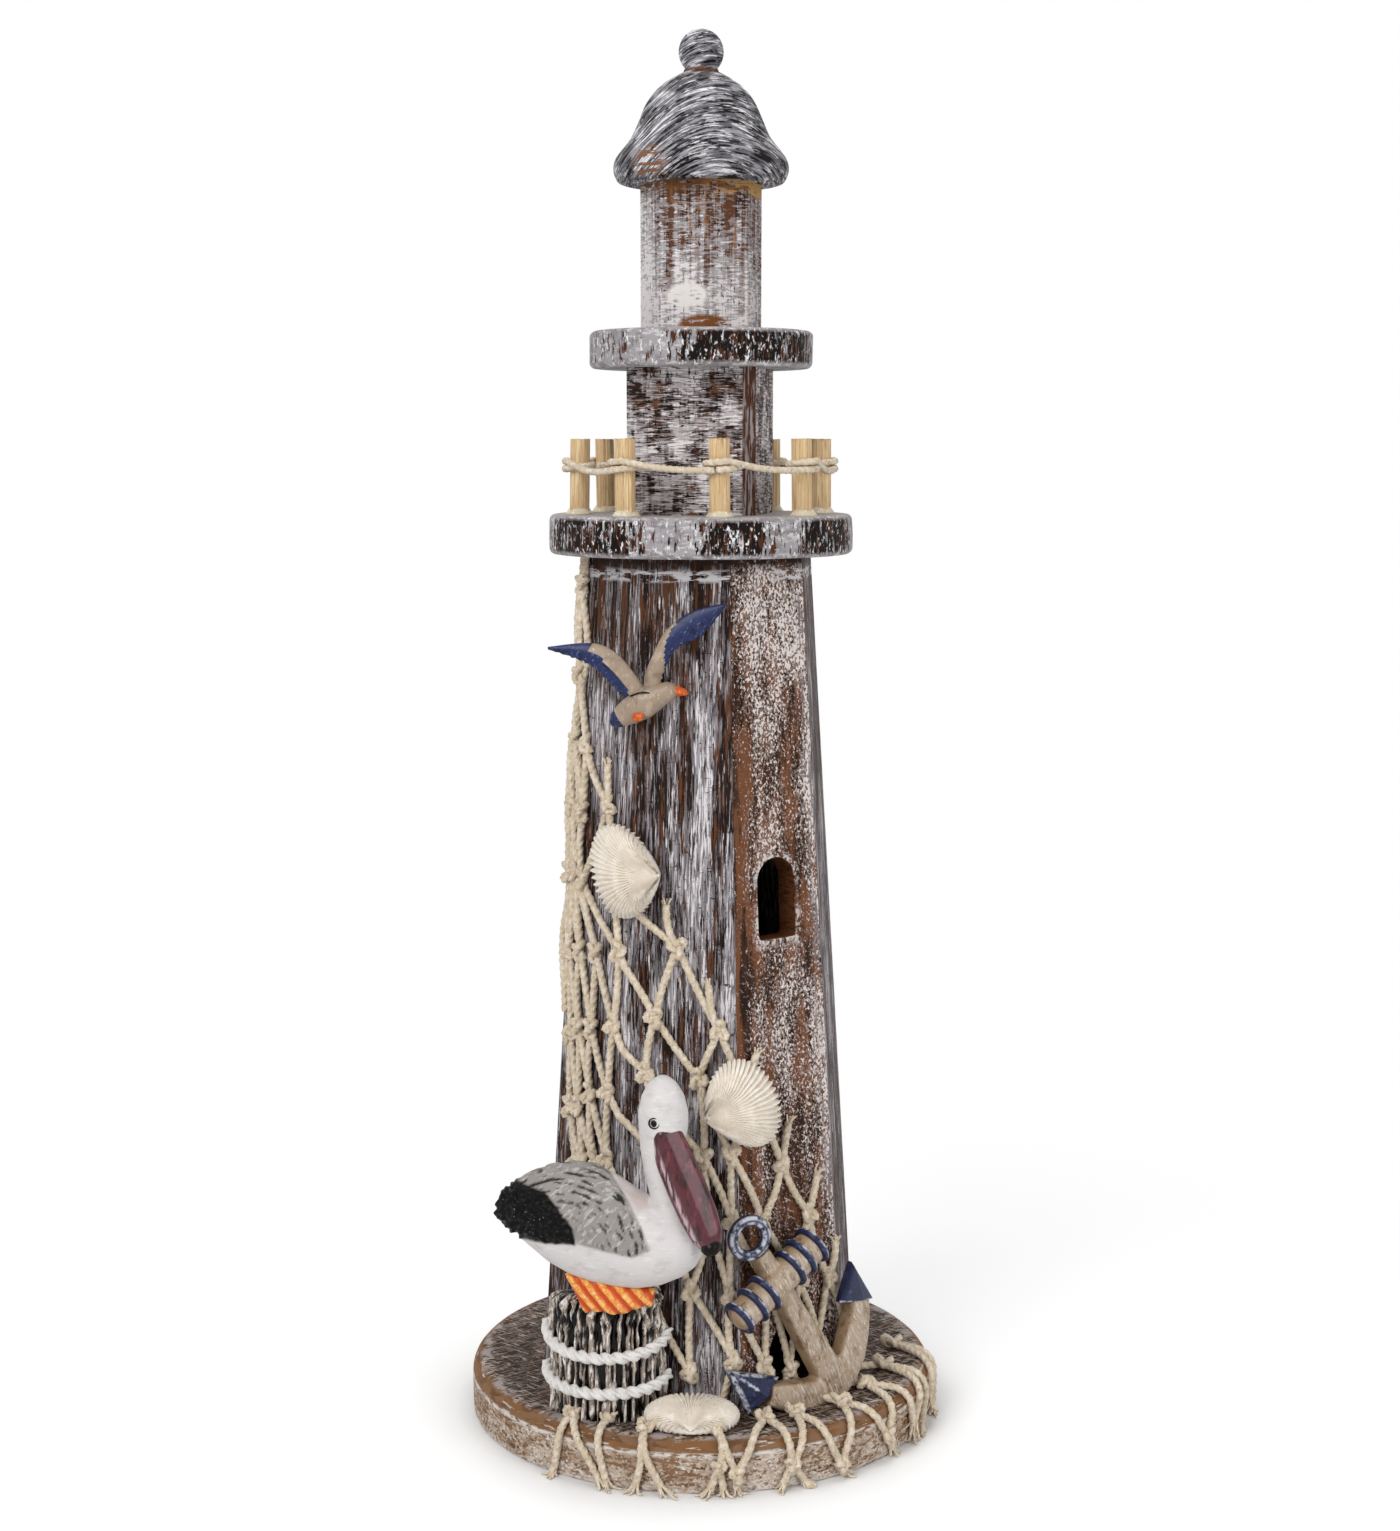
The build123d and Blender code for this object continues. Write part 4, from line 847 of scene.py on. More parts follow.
cord_path = []
wrap = POST_RADIUS + CORD_THICKNESS / 2 + WRAP_GAP
for index in range(POST_COUNT):
    azimuth = POST_START + index * 360 / POST_COUNT
    foot = outward(azimuth) * POST_RING
    for k in range(WRAP_STEPS + 1):
        t = k / WRAP_STEPS
        turn = azimuth - WRAP_EXTRA / 2 + (360 + WRAP_EXTRA) * t
        rise = GALLERY_TOP + CORD_RISE + WRAP_CLIMB * (t - 0.5)
        cord_path.append(foot + placed(turn, wrap, rise))
    leave = cord_path[-1]
    ahead = azimuth + 360 / POST_COUNT
    arrive = outward(ahead) * POST_RING + outward(ahead - WRAP_EXTRA / 2) * wrap
    arrive = arrive + Vector((0, 0, GALLERY_TOP + CORD_RISE - WRAP_CLIMB / 2))
    uneven = 1 + SAG_UNEVEN * math.sin(SAG_CHANGE * index)
    for k in range(1, SPAN_STEPS):
        t = k / SPAN_STEPS
        sag = CORD_SAG * uneven * math.sin(math.pi * t)
        cord_path.append(leave.lerp(arrive, t) - Vector((0, 0, sag)))
rail_twine = twisted("rail_twine", [(cord_path, True)], CORD_THICKNESS, CORD_PITCH, cotton, step=CORD_STEP)
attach(rail_twine, "root")
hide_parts("rail_cord")

# Fishing net: hand-knotted cotton twine, gathered at the left and spread over three staves.
# It hangs from one corner under the gallery and is glued at the knots.
# Its right edge keeps the cut stubs of the meshes that lay beside it.
TWINE_THICKNESS = 2.3
TWINE_PITCH = 6.5
TWINE_LIFT = 1.35
STUB_LIFT = 1.6
# What a bow to one side comes to in degrees round the tower, and how far it lifts the strand.
BOW_TURN = 1.3
BOW_LIFT = 0.5
KNOT_SIZE = 0.92
KNOT_LIFT = 1.9
KNOT_STEPS = 34
# How far a knot's loops open across and up, how tall it is against its width, and how deep.
KNOT_LOOPS = (1.35, 1.55)
KNOT_TALL = 1.15
KNOT_DEEP = 1.05
# A knot's twine and lay against the plain twine's.
KNOT_FINENESS = 0.92
KNOT_LAY = 0.8
YARN_STEPS = 5
# Yarns of a frayed end: how far they spread and reach against its length, and where they leave the twine.
YARN_SPREAD = (0.1, 0.55)
YARN_REACH = (0.6, 1.1)
YARN_ROOT = 0.3
YARN_OFF = 0.5
STUB_YARNS = 7
STUB_FRAY = 2.6
yarn_look = {"thickness": 0.6, "pitch": 14.0, "finish": cotton, "depth": 0.05, "step": 0.6, "sides": 6}
# Each row of knots from left to right: azimuth in degrees and height in millimetres.
NET_ROWS = [
    [(-75, 233)],
    [(-74, 209)],
    [(-74, 191), (-66, 190)],
    [(-74, 173), (-66, 172), (-46, 175)],
    [(-74, 154), (-70, 155), (-64, 153), (-40, 157)],
    [(-71, 133), (-63, 134), (-51, 135), (-35, 137), (-10, 139)],
    [(-67, 110), (-61, 113), (-52, 114), (-37, 117), (-19, 120), (7, 117)],
    [(-65, 90), (-59, 91), (-51, 96), (-39, 98), (-22, 105), (-1, 104), (17, 101)],
    [(-59, 75), (-54, 76), (-46, 78), (-38, 80), (-18, 83), (1, 83), (11, 84), (33, 79)],
    [(-41, 62), (-30, 63), (-23, 64), (-14, 65), (3, 65), (11, 66), (23, 65), (45, 64)],
    [(-40, 44), (-28, 45), (-19, 46), (-4, 47), (10, 46), (25, 47), (39, 46), (53, 45)],
    [(-29, 22), (-17, 23), (-4, 24), (11, 28), (23, 25), (34, 23), (47, 28), (59, 29)],
]
# Cut stubs at the right edge: row, and how far each runs round the tower and up.
NET_STUBS = [
    (3, -1.5, 11),
    (4, -4, 10),
    (5, -5, 11),
    (6, -4, 12),
    (7, 5, 9),
    (8, 4, 11),
    (9, 5, 10),
    (10, 4, 9),
]
# The two strands that hold the net's corner under the gallery, by azimuth, and how far below it they start.
NET_TIES = (-76.5, -74.5)
TIE_DROP = 0.5
# The gathered strands beside them: how many, their steps, first azimuth and spacing, top and drop.
GATHER_COUNT = 3
GATHER_STEPS = 39
GATHER_AZIMUTH = -77.5
GATHER_SPACING = 2.2
GATHER_TOP = 236.0
GATHER_DROP = 120.0
# How they sway round the tower: degrees, change by step and by strand, and their drift by the foot.
GATHER_SWAY = (1.6, 0.55, 2.1)
GATHER_DRIFT = 5
# How far off the tower they lie, by how much that varies, and its change from step to step.
GATHER_LIFT = (1.4, 0.8, 0.4)
NET_SEED = 21
TOWER_FOOT = BASE_TOP


def tower_reach(azimuth, height):
    """Distance from the axis to the tower's surface at an azimuth and height."""
    flats = FOOT_FLATS - (height - TOWER_FOOT) * math.tan(LEAN)
    off_face = (azimuth - FRONT_TURN + STAVE_STEP / 2) % STAVE_STEP - STAVE_STEP / 2
    return flats / math.cos(math.radians(off_face))


def on_tower(azimuth, height, lift):
    """Point that lies a distance off the tower's surface."""
    return placed(azimuth, tower_reach(azimuth, height) + lift, height)


def up_stave(azimuth):
    """Unit vector up the leaning face of a stave."""
    return UPRIGHT * math.cos(LEAN) - outward(azimuth) * math.sin(LEAN)


def draped(start, end, rng, lift=TWINE_LIFT, bow=1.0, steps=14):
    """Strand between two places on the tower, with a slight bow of its own."""
    aside = rng.uniform(-bow, bow)
    slack = rng.uniform(0.0, bow)
    path = []
    for k in range(steps + 1):
        t = k / steps
        wave = math.sin(math.pi * t)
        azimuth = start[0] + (end[0] - start[0]) * t + BOW_TURN * aside * wave
        height = start[1] + (end[1] - start[1]) * t - slack * wave
        path.append(on_tower(azimuth, height, lift + BOW_LIFT * wave * abs(aside)))
    return path


def knot_path(centre, out, up, rng, size=KNOT_SIZE):
    """Closed overhand loop, flattened against what carries it."""
    spin = rng.uniform(0, 2 * math.pi)
    right = up.cross(out)
    path = []
    for k in range(KNOT_STEPS):
        t = 2 * math.pi * k / KNOT_STEPS
        x = (math.sin(t + spin) + KNOT_LOOPS[0] * math.sin(2 * t)) * size
        y = (math.cos(t + spin) - KNOT_LOOPS[1] * math.cos(2 * t)) * size * KNOT_TALL
        z = -KNOT_DEEP * math.sin(3 * t) * size
        path.append(centre + right * x + up * y + out * z)
    return path


def frayed(end, heading, rng, count, length):
    """Loose yarns that fan out of a cut end."""
    heading = heading.normalized()
    yarns = []
    for _ in range(count):
        away = Vector((rng.gauss(0, 1), rng.gauss(0, 1), rng.gauss(0, 1)))
        away = (away - heading * away.dot(heading)).normalized()
        spread = rng.uniform(*YARN_SPREAD)
        reach = length * rng.uniform(*YARN_REACH)
        yarn = []
        for k in range(YARN_STEPS + 1):
            t = k / YARN_STEPS
            yarn.append(end + heading * reach * (t - YARN_ROOT) + away * (YARN_OFF + spread * reach * t * t))
        yarns.append((yarn, False))
    return yarns


net_rng = random.Random(NET_SEED)
net_legs = []
net_knots = []
net_yarns = []
for azimuth in NET_TIES:
    net_legs.append((draped((azimuth, TOWER_TOP - TIE_DROP), NET_ROWS[0][0], net_rng, bow=0.4), False))
for upper, lower in zip(NET_ROWS, NET_ROWS[1:]):
    for place, knot in enumerate(reversed(upper)):
        for below in list(reversed(lower))[place : place + 2]:
            net_legs.append((draped(knot, below, net_rng), False))
for row in NET_ROWS:
    for azimuth, height in row:
        centre = on_tower(azimuth, height, KNOT_LIFT)
        net_knots.append((knot_path(centre, outward(azimuth), up_stave(azimuth), net_rng), True))
for row, aside, rise in NET_STUBS:
    azimuth, height = NET_ROWS[row][-1]
    stub = draped((azimuth, height), (azimuth + aside, height + rise), net_rng, lift=STUB_LIFT, steps=8)
    net_legs.append((stub, False))
    net_yarns.extend(frayed(stub[-1], stub[-1] - stub[-3], net_rng, STUB_YARNS, STUB_FRAY))
for strand in range(GATHER_COUNT):
    path = []
    for k in range(GATHER_STEPS + 1):
        t = k / GATHER_STEPS
        sway = GATHER_SWAY[0] * math.sin(k * GATHER_SWAY[1] + strand * GATHER_SWAY[2]) + GATHER_DRIFT * t**2
        azimuth = GATHER_AZIMUTH + GATHER_SPACING * strand + sway
        lift = GATHER_LIFT[0] + GATHER_LIFT[1] * math.sin(k * GATHER_LIFT[2] + strand)
        path.append(on_tower(azimuth, GATHER_TOP - GATHER_DROP * t, lift))
    net_legs.append((path, False))
net_parts = [
    twisted("net_legs", net_legs, TWINE_THICKNESS, TWINE_PITCH, cotton),
    twisted("net_knots", net_knots, TWINE_THICKNESS * KNOT_FINENESS, TWINE_PITCH * KNOT_LAY, cotton),
    twisted("net_yarns", net_yarns, **yarn_look),
]
net_twine = joined("net_twine", net_parts)
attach(net_twine, "root")
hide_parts("fishing_net")

# Net fringe: the net's last knots lie on the base, and its cut strands hang over the rim.
# Each strand ends in a frayed tassel, and some pairs are knotted again half-way down the side.
# Knots on the base: distance from the axis and azimuth.
BASE_KNOTS = {
    "a": (60.5, -34),
    "b": (57.5, -25),
    "c": (61.0, -14),
    "d": (60.0, 4),
    "e": (55.0, 18),
    "f": (55.0, 27),
    "g": (56.6, 42),
    "h": (54.0, 57),
    "i": (53.0, 73),
    "j": (54.6, 90),
}
# Knots on the rim's side: azimuth and height.
SIDE_KNOTS = {"k": (4, 8.0), "l": (8, 6.0), "m": (21, 7.0), "n": (34, 3.6), "o": (49, 7.0)}
# Strands from a base knot over the rim to a side knot, or to a cut end by azimuth and height.
FRINGE = [
    ("a", (-36, 2.2)),
    ("a", (-24, 2.6)),
    ("b", (-22, 1.8)),
    ("c", (-15, 2.4)),
    ("c", (-9, 2.4)),
    ("d", "k"),
    ("d", "l"),
    ("e", "l"),
    ("e", "m"),
    ("f", "m"),
    ("f", "n"),
    ("g", "n"),
    ("g", "o"),
    ("h", "o"),
    ("h", (61, 2.9)),
    ("i", (62, 6.0)),
    ("i", (67, 3.0)),
    ("j", (74, 7.0)),
    ("j", (80, 2.4)),
]
# Strands from a side knot down to a cut end by azimuth and height.
SIDE_ENDS = [
    ("k", (2, 2.0)),
    ("k", (5, 2.0)),
    ("l", (8, 2.0)),
    ("m", (19, 2.2)),
    ("m", (24, 2.2)),
    ("n", (35, 1.8)),
    ("o", (51, 2.6)),
]
# Base knots that the net's last row of knots leads to: place in the row, and the two knots.
FOOT_LEGS = [(3, "de"), (4, "ef"), (5, "fg"), (6, "gh"), (7, "hi")]
# How far twine's middle lies off the base, how far off it bends away from the tower, and where that starts.
LIE = 1.25
BEND_LIFT = 1.6
BEND_START = 3.0
RIM_STEPS = 18
SIDE_STEPS = 6
LEG_STEPS = 8
SIDE_KNOT_SIZE = 0.7
RIM_KNOT_THICKNESS = TWINE_THICKNESS * 0.9
# Yarns in a tassel, the length of those at the rim and on the side, and the floor that they stay above.
TASSEL_COUNT = 14
RIM_TASSEL = 6.0
SIDE_TASSEL = 5.0
TASSEL_FLOOR = 0.4
FRINGE_SEED = 33


def over_rim(share, start_radius, end_height):
    """Radius and height along the way from the base's top over its shoulder and down its side."""
    flat = BASE_RADIUS - SHOULDER_WIDTH - start_radius
    bend = math.pi / 2 * (SHOULDER_WIDTH + SHOULDER_DROP) / 2
    side = BASE_TOP - SHOULDER_DROP - end_height
    walked = share * (flat + bend + side)
    if walked < flat:
        return start_radius + walked, BASE_TOP + LIE
    if walked < flat + bend:
        turn = (walked - flat) / bend * math.pi / 2
        out = BASE_RADIUS - SHOULDER_WIDTH + (SHOULDER_WIDTH + LIE) * math.sin(turn)
        return out, BASE_TOP - SHOULDER_DROP + (SHOULDER_DROP + LIE) * math.cos(turn)
    return BASE_RADIUS + LIE, BASE_TOP - SHOULDER_DROP - (walked - flat - bend)


def rim_strand(start_radius, start_azimuth, end_azimuth, end_height, rng):
    """Strand that lies on the base and hangs over its rim."""
    wave = rng.uniform(-1.0, 1.0)
    path = []
    for k in range(RIM_STEPS + 1):
        t = k / RIM_STEPS
        reach, height = over_rim(t, start_radius, end_height)
        azimuth = start_azimuth + (end_azimuth - start_azimuth) * t + wave * math.sin(math.pi * t)
        path.append(placed(azimuth, reach, height))
    return path


fringe_rng = random.Random(FRINGE_SEED)
fringe_legs = []
fringe_knots = []
fringe_yarns = []
for reach, azimuth in BASE_KNOTS.values():
    centre = placed(azimuth, reach, BASE_TOP + KNOT_LIFT)
    fringe_knots.append((knot_path(centre, UPRIGHT, outward(azimuth), fringe_rng), True))
for azimuth, height in SIDE_KNOTS.values():
    centre = placed(azimuth, BASE_RADIUS + KNOT_LIFT, height)
    knot = knot_path(centre, outward(azimuth), UPRIGHT, fringe_rng, SIDE_KNOT_SIZE)
    fringe_knots.append((knot, True))
for start, end in FRINGE:
    reach, azimuth = BASE_KNOTS[start]
    loose = not isinstance(end, str)
    end_azimuth, end_height = end if loose else SIDE_KNOTS[end]
    strand = rim_strand(reach, azimuth, end_azimuth, end_height, fringe_rng)
    fringe_legs.append((strand, False))
    if loose:
        heading = strand[-1] - strand[-4]
        fringe_yarns.extend(frayed(strand[-1], heading, fringe_rng, TASSEL_COUNT, RIM_TASSEL))
for start, (azimuth, height) in SIDE_ENDS:
    from_azimuth, from_height = SIDE_KNOTS[start]
    strand = []
    for k in range(SIDE_STEPS + 1):
        t = k / SIDE_STEPS
        turn = from_azimuth + (azimuth - from_azimuth) * t
        drop = from_height + (height - from_height) * t
        strand.append(placed(turn, BASE_RADIUS + LIE, drop))
    fringe_legs.append((strand, False))
    heading = strand[-1] - strand[0]
    fringe_yarns.extend(frayed(strand[-1], heading, fringe_rng, TASSEL_COUNT, SIDE_TASSEL))
for (azimuth, height), end in [(NET_ROWS[-1][place], end) for place, ends in FOOT_LEGS for end in ends]:
    reach, end_azimuth = BASE_KNOTS[end]
    bend_azimuth = (azimuth + end_azimuth) / 2
    bend_reach = tower_reach(bend_azimuth, BASE_TOP) + BEND_LIFT
    bend = placed(bend_azimuth, bend_reach, BASE_TOP + BEND_LIFT)
    stop = placed(end_azimuth, reach, BASE_TOP + LIE)
    turn_place = (bend_azimuth, BASE_TOP + BEND_START)
    fall = draped((azimuth, height), turn_place, fringe_rng, bow=0.6, steps=LEG_STEPS)
    rest = [bend.lerp(stop, (k + 1) / LEG_STEPS) for k in range(LEG_STEPS)]
    eased_leg = smooth_line([tuple(spot) for spot in fall + rest], steps=2)
    fringe_legs.append(([Vector(spot) for spot in eased_leg], False))
for yarn, _ in fringe_yarns:
    for spot in yarn:
        spot.z = max(spot.z, TASSEL_FLOOR)
fringe_parts = [
    twisted("fringe_legs", fringe_legs, TWINE_THICKNESS, TWINE_PITCH, cotton),
    twisted("fringe_knots", fringe_knots, RIM_KNOT_THICKNESS, TWINE_PITCH * KNOT_LAY, cotton),
    twisted("fringe_yarns", fringe_yarns, **yarn_look),
]
fringe_twine = joined("fringe_twine", fringe_parts)
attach(fringe_twine, "root")
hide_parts("net_fringe")

# Cockle shells: real beach shells, cream and ribbed, glued hollow side down over the net.
# Fine ribs fan out from the beak to a scalloped margin, crossed by growth lines.
SHELL_RIBS = 46
RIB_HEIGHT = 0.4
GROWTH_LINES = 26
GROWTH_HEIGHT = 0.1
MARGIN_SCALLOP = 0.03
SHELL_ALONG = 30
SHELL_ROUND = 460
SHELL_WALL = 0.9
OUTLINE_STEPS = 60
# Shares of a shell's length: where its beak lies, how far a pointed beak overhangs, where its ribs are full,
# how soon the dome is full and how far the beak's hook runs back.
BEAK_INSET = 0.05
BEAK_OVERHANG = 0.2
RIB_START = 0.4
DOME_REACH = 0.3
HOOK_REACH = 0.24
# Height of a blunt beak as a share of the shell's, what a point adds, and how full and flat the dome is.
BLUNT_BEAK = 0.25
POINTED_BEAK = 0.6
DOME_FULL = 1.12
DOME_FLAT = 0.6
# Worn shell gives a chalky cream with soft tan clouds and a slight sheen on the ribs.
cockle_finish = painted(
    "cockle_shell",
    [
        ("#EFE6D9", []),
        ("#F7F0E6", [marks((3, 3, 3), 0.46, 0.62)]),
        ("#DED1C1", [marks((1.1, 1.1, 1.1), 0.57, 0.7, place=9)]),
        ("#E2C69E", [marks((6, 6, 6), 0.6, 0.74, place=22)]),
    ],
    rough=(0.45, 0.6),
    relief=0.1,
)


def cockle(name, node, hinge, heading, normal, length, width, height, point, skew):
    """One ribbed valve that stands for a shell node, pointed at its beak and a little skewed."""
    sideway = normal.cross(heading)
    beak = BEAK_INSET * length
    overhang = BEAK_OVERHANG * point * length
    beak_rise = BLUNT_BEAK + POINTED_BEAK * point
    half_turns = [math.pi * k / OUTLINE_STEPS for k in range(OUTLINE_STEPS + 1)]
    widest = max(math.sin(turn) * math.sin(turn / 2) ** point for turn in half_turns)
    points = [hinge + heading * (beak - overhang) + normal * (beak_rise * height)]
    faces = []
    for ring in range(1, SHELL_ALONG + 1):
        s = ring / SHELL_ALONG
        for k in range(SHELL_ROUND):
            turn = 2 * math.pi * k / SHELL_ROUND
            rib = math.cos(SHELL_RIBS * turn)
            edge = s * (1 + MARGIN_SCALLOP * rib * s)
            aside = edge * width / 2 * math.sin(turn) * math.sin(turn / 2) ** point / widest
            ahead = edge * (length / 2 * (1 - math.cos(turn)) - beak)
            reach = math.hypot(ahead, aside)
            dome = beak_rise + (1 - beak_rise) * math.tanh(reach / (DOME_REACH * length))
            rise = DOME_FULL * height * (1 - s**2) ** DOME_FLAT * dome
            relief = RIB_HEIGHT * rib + GROWTH_HEIGHT * math.sin(GROWTH_LINES * s)
            rise += relief * min(1.0, reach / (RIB_START * length))
            along = beak + ahead + skew * aside
            along -= overhang * (1 - s**2) * math.exp(-((reach / (HOOK_REACH * length)) ** 2))
            points.append(hinge + heading * along + sideway * aside + normal * rise)
    for k in range(SHELL_ROUND):
        faces.append((0, 1 + k, 1 + (k + 1) % SHELL_ROUND))
    for ring in range(SHELL_ALONG - 1):
        for k in range(SHELL_ROUND):
            low, high = 1 + ring * SHELL_ROUND, 1 + (ring + 1) * SHELL_ROUND
            after = (k + 1) % SHELL_ROUND
            faces.append((low + k, high + k, high + after, low + after))
    shell = new_piece(name, points, faces, cockle_finish)
    if sum((p.normal.dot(normal) for p in shell.data.polygons)) < 0:
        shell.data.flip_normals()
    wall = shell.modifiers.new("wall", "SOLIDIFY")
    wall.thickness = SHELL_WALL * MM
    wall.offset = -1
    applied(shell)
    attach(shell, "root")
    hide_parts(node)


# Each shell on the net: turn and height on the tower, roll, hinge across and up, then its shape, which is
# its length, width and height, how pointed it is at the beak, and how far it is skewed.
NET_SHELLS = {
    "shell_upper": (-18.0, 144.0, 181.8, 7.3, 0.5, 20.2, 24.4, 7.4, 0.5, -0.14),
    "shell_middle": (22.5, 84.5, 11.4, -9.5, -3.0, 19.7, 24.0, 7.4, 0.4, -0.12),
}
SHELL_LIFT = 3.0
for node, (turn, rise, roll, hinge_across, hinge_up, *shape) in NET_SHELLS.items():
    azimuth = FRONT_TURN + turn
    up = up_stave(azimuth)
    normal = off_stave(azimuth)
    hinge = on_tower(azimuth, TOWER_FOOT + rise, 0) + normal * SHELL_LIFT
    hinge = hinge + rightward(azimuth) * hinge_across + up * hinge_up
    heading = rightward(azimuth) * math.cos(math.radians(roll)) + up * math.sin(math.radians(roll))
    cockle(node.replace("shell", "cockle"), node, hinge, heading, normal, *shape)
FOOT_SHELL_AZIMUTH = FRONT_TURN + 6.0
FOOT_SHELL_RADIUS = 61.8
FOOT_SHELL_LIFT = 0.6
FOOT_SHELL_TILT = math.radians(17.0)
FOOT_SHELL = (15.0, 24.8, 5.2, 0.0, 0.0)
cockle(
    "cockle_foot",
    "shell_foot",
    placed(FOOT_SHELL_AZIMUTH, FOOT_SHELL_RADIUS, BASE_TOP + FOOT_SHELL_LIFT),
    placed(FOOT_SHELL_AZIMUTH, -math.cos(FOOT_SHELL_TILT), math.sin(FOOT_SHELL_TILT)),
    placed(FOOT_SHELL_AZIMUTH, math.sin(FOOT_SHELL_TILT), math.cos(FOOT_SHELL_TILT)),
    *FOOT_SHELL,
)

# Gull: a small resin casting, hand-painted beige and navy with an orange bill, glued to the front stave.
# Its wings are raised in a V, thin at the edges, with the feathers of the trailing edge cut as grooves.
GULL_ACROSS = -9.0
GULL_RISE = 189.8
CREASE_SOFTENING = 0.5
FRONT_OUT = outward(FRONT_TURN)
FRONT_RIGHT = rightward(FRONT_TURN)
front_normal = off_stave(FRONT_TURN)
front_up = up_stave(FRONT_TURN)
gull_centre = placed(FRONT_TURN, FOOT_FLATS, TOWER_FOOT) + FRONT_RIGHT * GULL_ACROSS + front_up * GULL_RISE


def oval(centre, side, rise, half_side, half_rise, count=32, square=2.0):
    """Ring round a centre, an ellipse or, with a larger square, a rounded box."""
    ring = []
    for k in range(count):
        turn = 2 * math.pi * k / count
        c, s = math.cos(turn), math.sin(turn)
        c = math.copysign(abs(c) ** (2 / square), c)
        s = math.copysign(abs(s) ** (2 / square), s)
        ring.append(centre + side * (half_side * c) + rise * (half_rise * s))
    return ring


def cast(name, forms, finish, voxel=0.45, soften=4):
    """One resin casting: overlapping forms run together on a grid in millimetres, with softened creases."""
    casting = new_piece(name, *gathered(forms), finish)
    skin = casting.modifiers.new("run together", "REMESH")
    skin.mode = "VOXEL"
    skin.voxel_size = voxel * MM
    skin.use_smooth_shade = True
    crease = casting.modifiers.new("soften", "SMOOTH")
    crease.factor = CREASE_SOFTENING
    crease.iterations = soften
    return applied(casting)


def gull_spot(aside, rise, out):
    """Place on the gull, across and up from its middle and out from the stave."""
    return gull_centre + FRONT_RIGHT * aside + front_up * rise + front_normal * out


# Cast resin under thin paint gives soft-edged forms with a low sheen, pale on the high places.
beige_resin = painted(
    "beige_painted_resin",
    [
        ("#A08D7A", []),
        ("#8A7765", [marks((4, 4, 4), 0.5, 0.66)]),
        ("#B5A28F", [marks((3.5, 3.5, 3.5), 0.52, 0.66, place=8)]),
        ("#CDBFB1", [marks((0.5, 0.5, 3.2), 0.62, 0.68, place=17)]),
        ("#6B5846", [marks((0.6, 0.6, 2.4), 0.66, 0.72, place=5)]),
    ],
    rough=(0.3, 0.42),
    relief=0.1,
    specular=0.3,
)
# Navy paint gives a dark satin blue, scuffed paler along the feathers.
navy_paint = painted(
    "navy_painted_resin",
    [
        ("#222B55", []),
        ("#161B36", [marks((1.8, 1.8, 1.8), 0.5, 0.62)]),
        ("#323E6E", [marks((1.0, 1.0, 1.0), 0.57, 0.66, place=6)]),
        ("#6F7AA4", [marks((0.5, 0.5, 2.2), 0.6, 0.68, turn=(0, 40, 0), place=13)]),
    ],
    rough=(0.35, 0.45),
    relief=0.12,
    specular=0.25,
)
# Orange paint gives a satin spot of colour, uneven from one dab of the brush.
orange_paint = painted(
    "orange_painted_resin",
    [
        ("#C85A2E", []),
        ("#E0824A", [marks((0.9, 0.9, 0.9), 0.5, 0.62)]),
        ("#9E3F1E", [marks((1.2, 1.2, 1.2), 0.6, 0.7, place=4)]),
    ],
    rough=(0.35, 0.45),
    relief=0.1,
)
# Gloss paint gives black dots and lines with a clear highlight.
black_paint = painted(
    "black_gloss_paint",
    [("#141211", []), ("#2B2725", [marks((0.9, 0.9, 0.9), 0.52, 0.66)])],
    rough=(0.18, 0.25),
    relief=0.06,
)
WING_SIDES = 26
WING_STEPS = 8
WING_THICK = 1.25
WING_THINNING = 0.55
WING_CAMBER = 0.9
# Feathers along the trailing edge: how many, how deep, and where on the chord grooves and notches start.
FEATHERS = 15
FEATHER_DEPTH = 0.44
FEATHER_START = 0.45
FEATHER_NOTCH = 0.05
NOTCH_START = 0.9
# Navy starts a little past the root and covers the whole tip, as shares of the wing's length.
NAVY_ROOT = 0.06
NAVY_TIP = 0.7
# Upper and lower edges of each wing from root to tip, how far out of the stave its middle runs, and the
# share of the chord where navy starts at the root, with how much that falls towards the tip.
GULL_WINGS = {
    "left": (
        [(-0.5, 3.0), (-4.0, 7.8), (-7.4, 11.8), (-12.0, 14.5), (-17.6, 15.0), (-26.6, 13.9)],
        [(-5.0, -1.0), (-7.4, 1.6), (-10.4, 5.0), (-14.6, 8.9), (-20.0, 11.2), (-26.4, 13.1)],
        [2.6, 3.6, 4.4, 4.4, 4.2, 4.0],
        (0.66, 0.3),
    ),
    "right": (
        [(-1.4, 2.0), (-0.6, 7.2), (1.7, 12.6), (5.2, 18.8), (12.2, 23.8), (20.8, 25.8)],
        [(3.6, 1.0), (3.8, 6.2), (5.8, 10.7), (8.0, 14.0), (14.6, 17.6), (20.8, 25.1)],
        [2.6, 3.6, 4.4, 4.6, 4.6, 4.4],
        (1.75, 2.5),
    ),
}
gull_parts = []
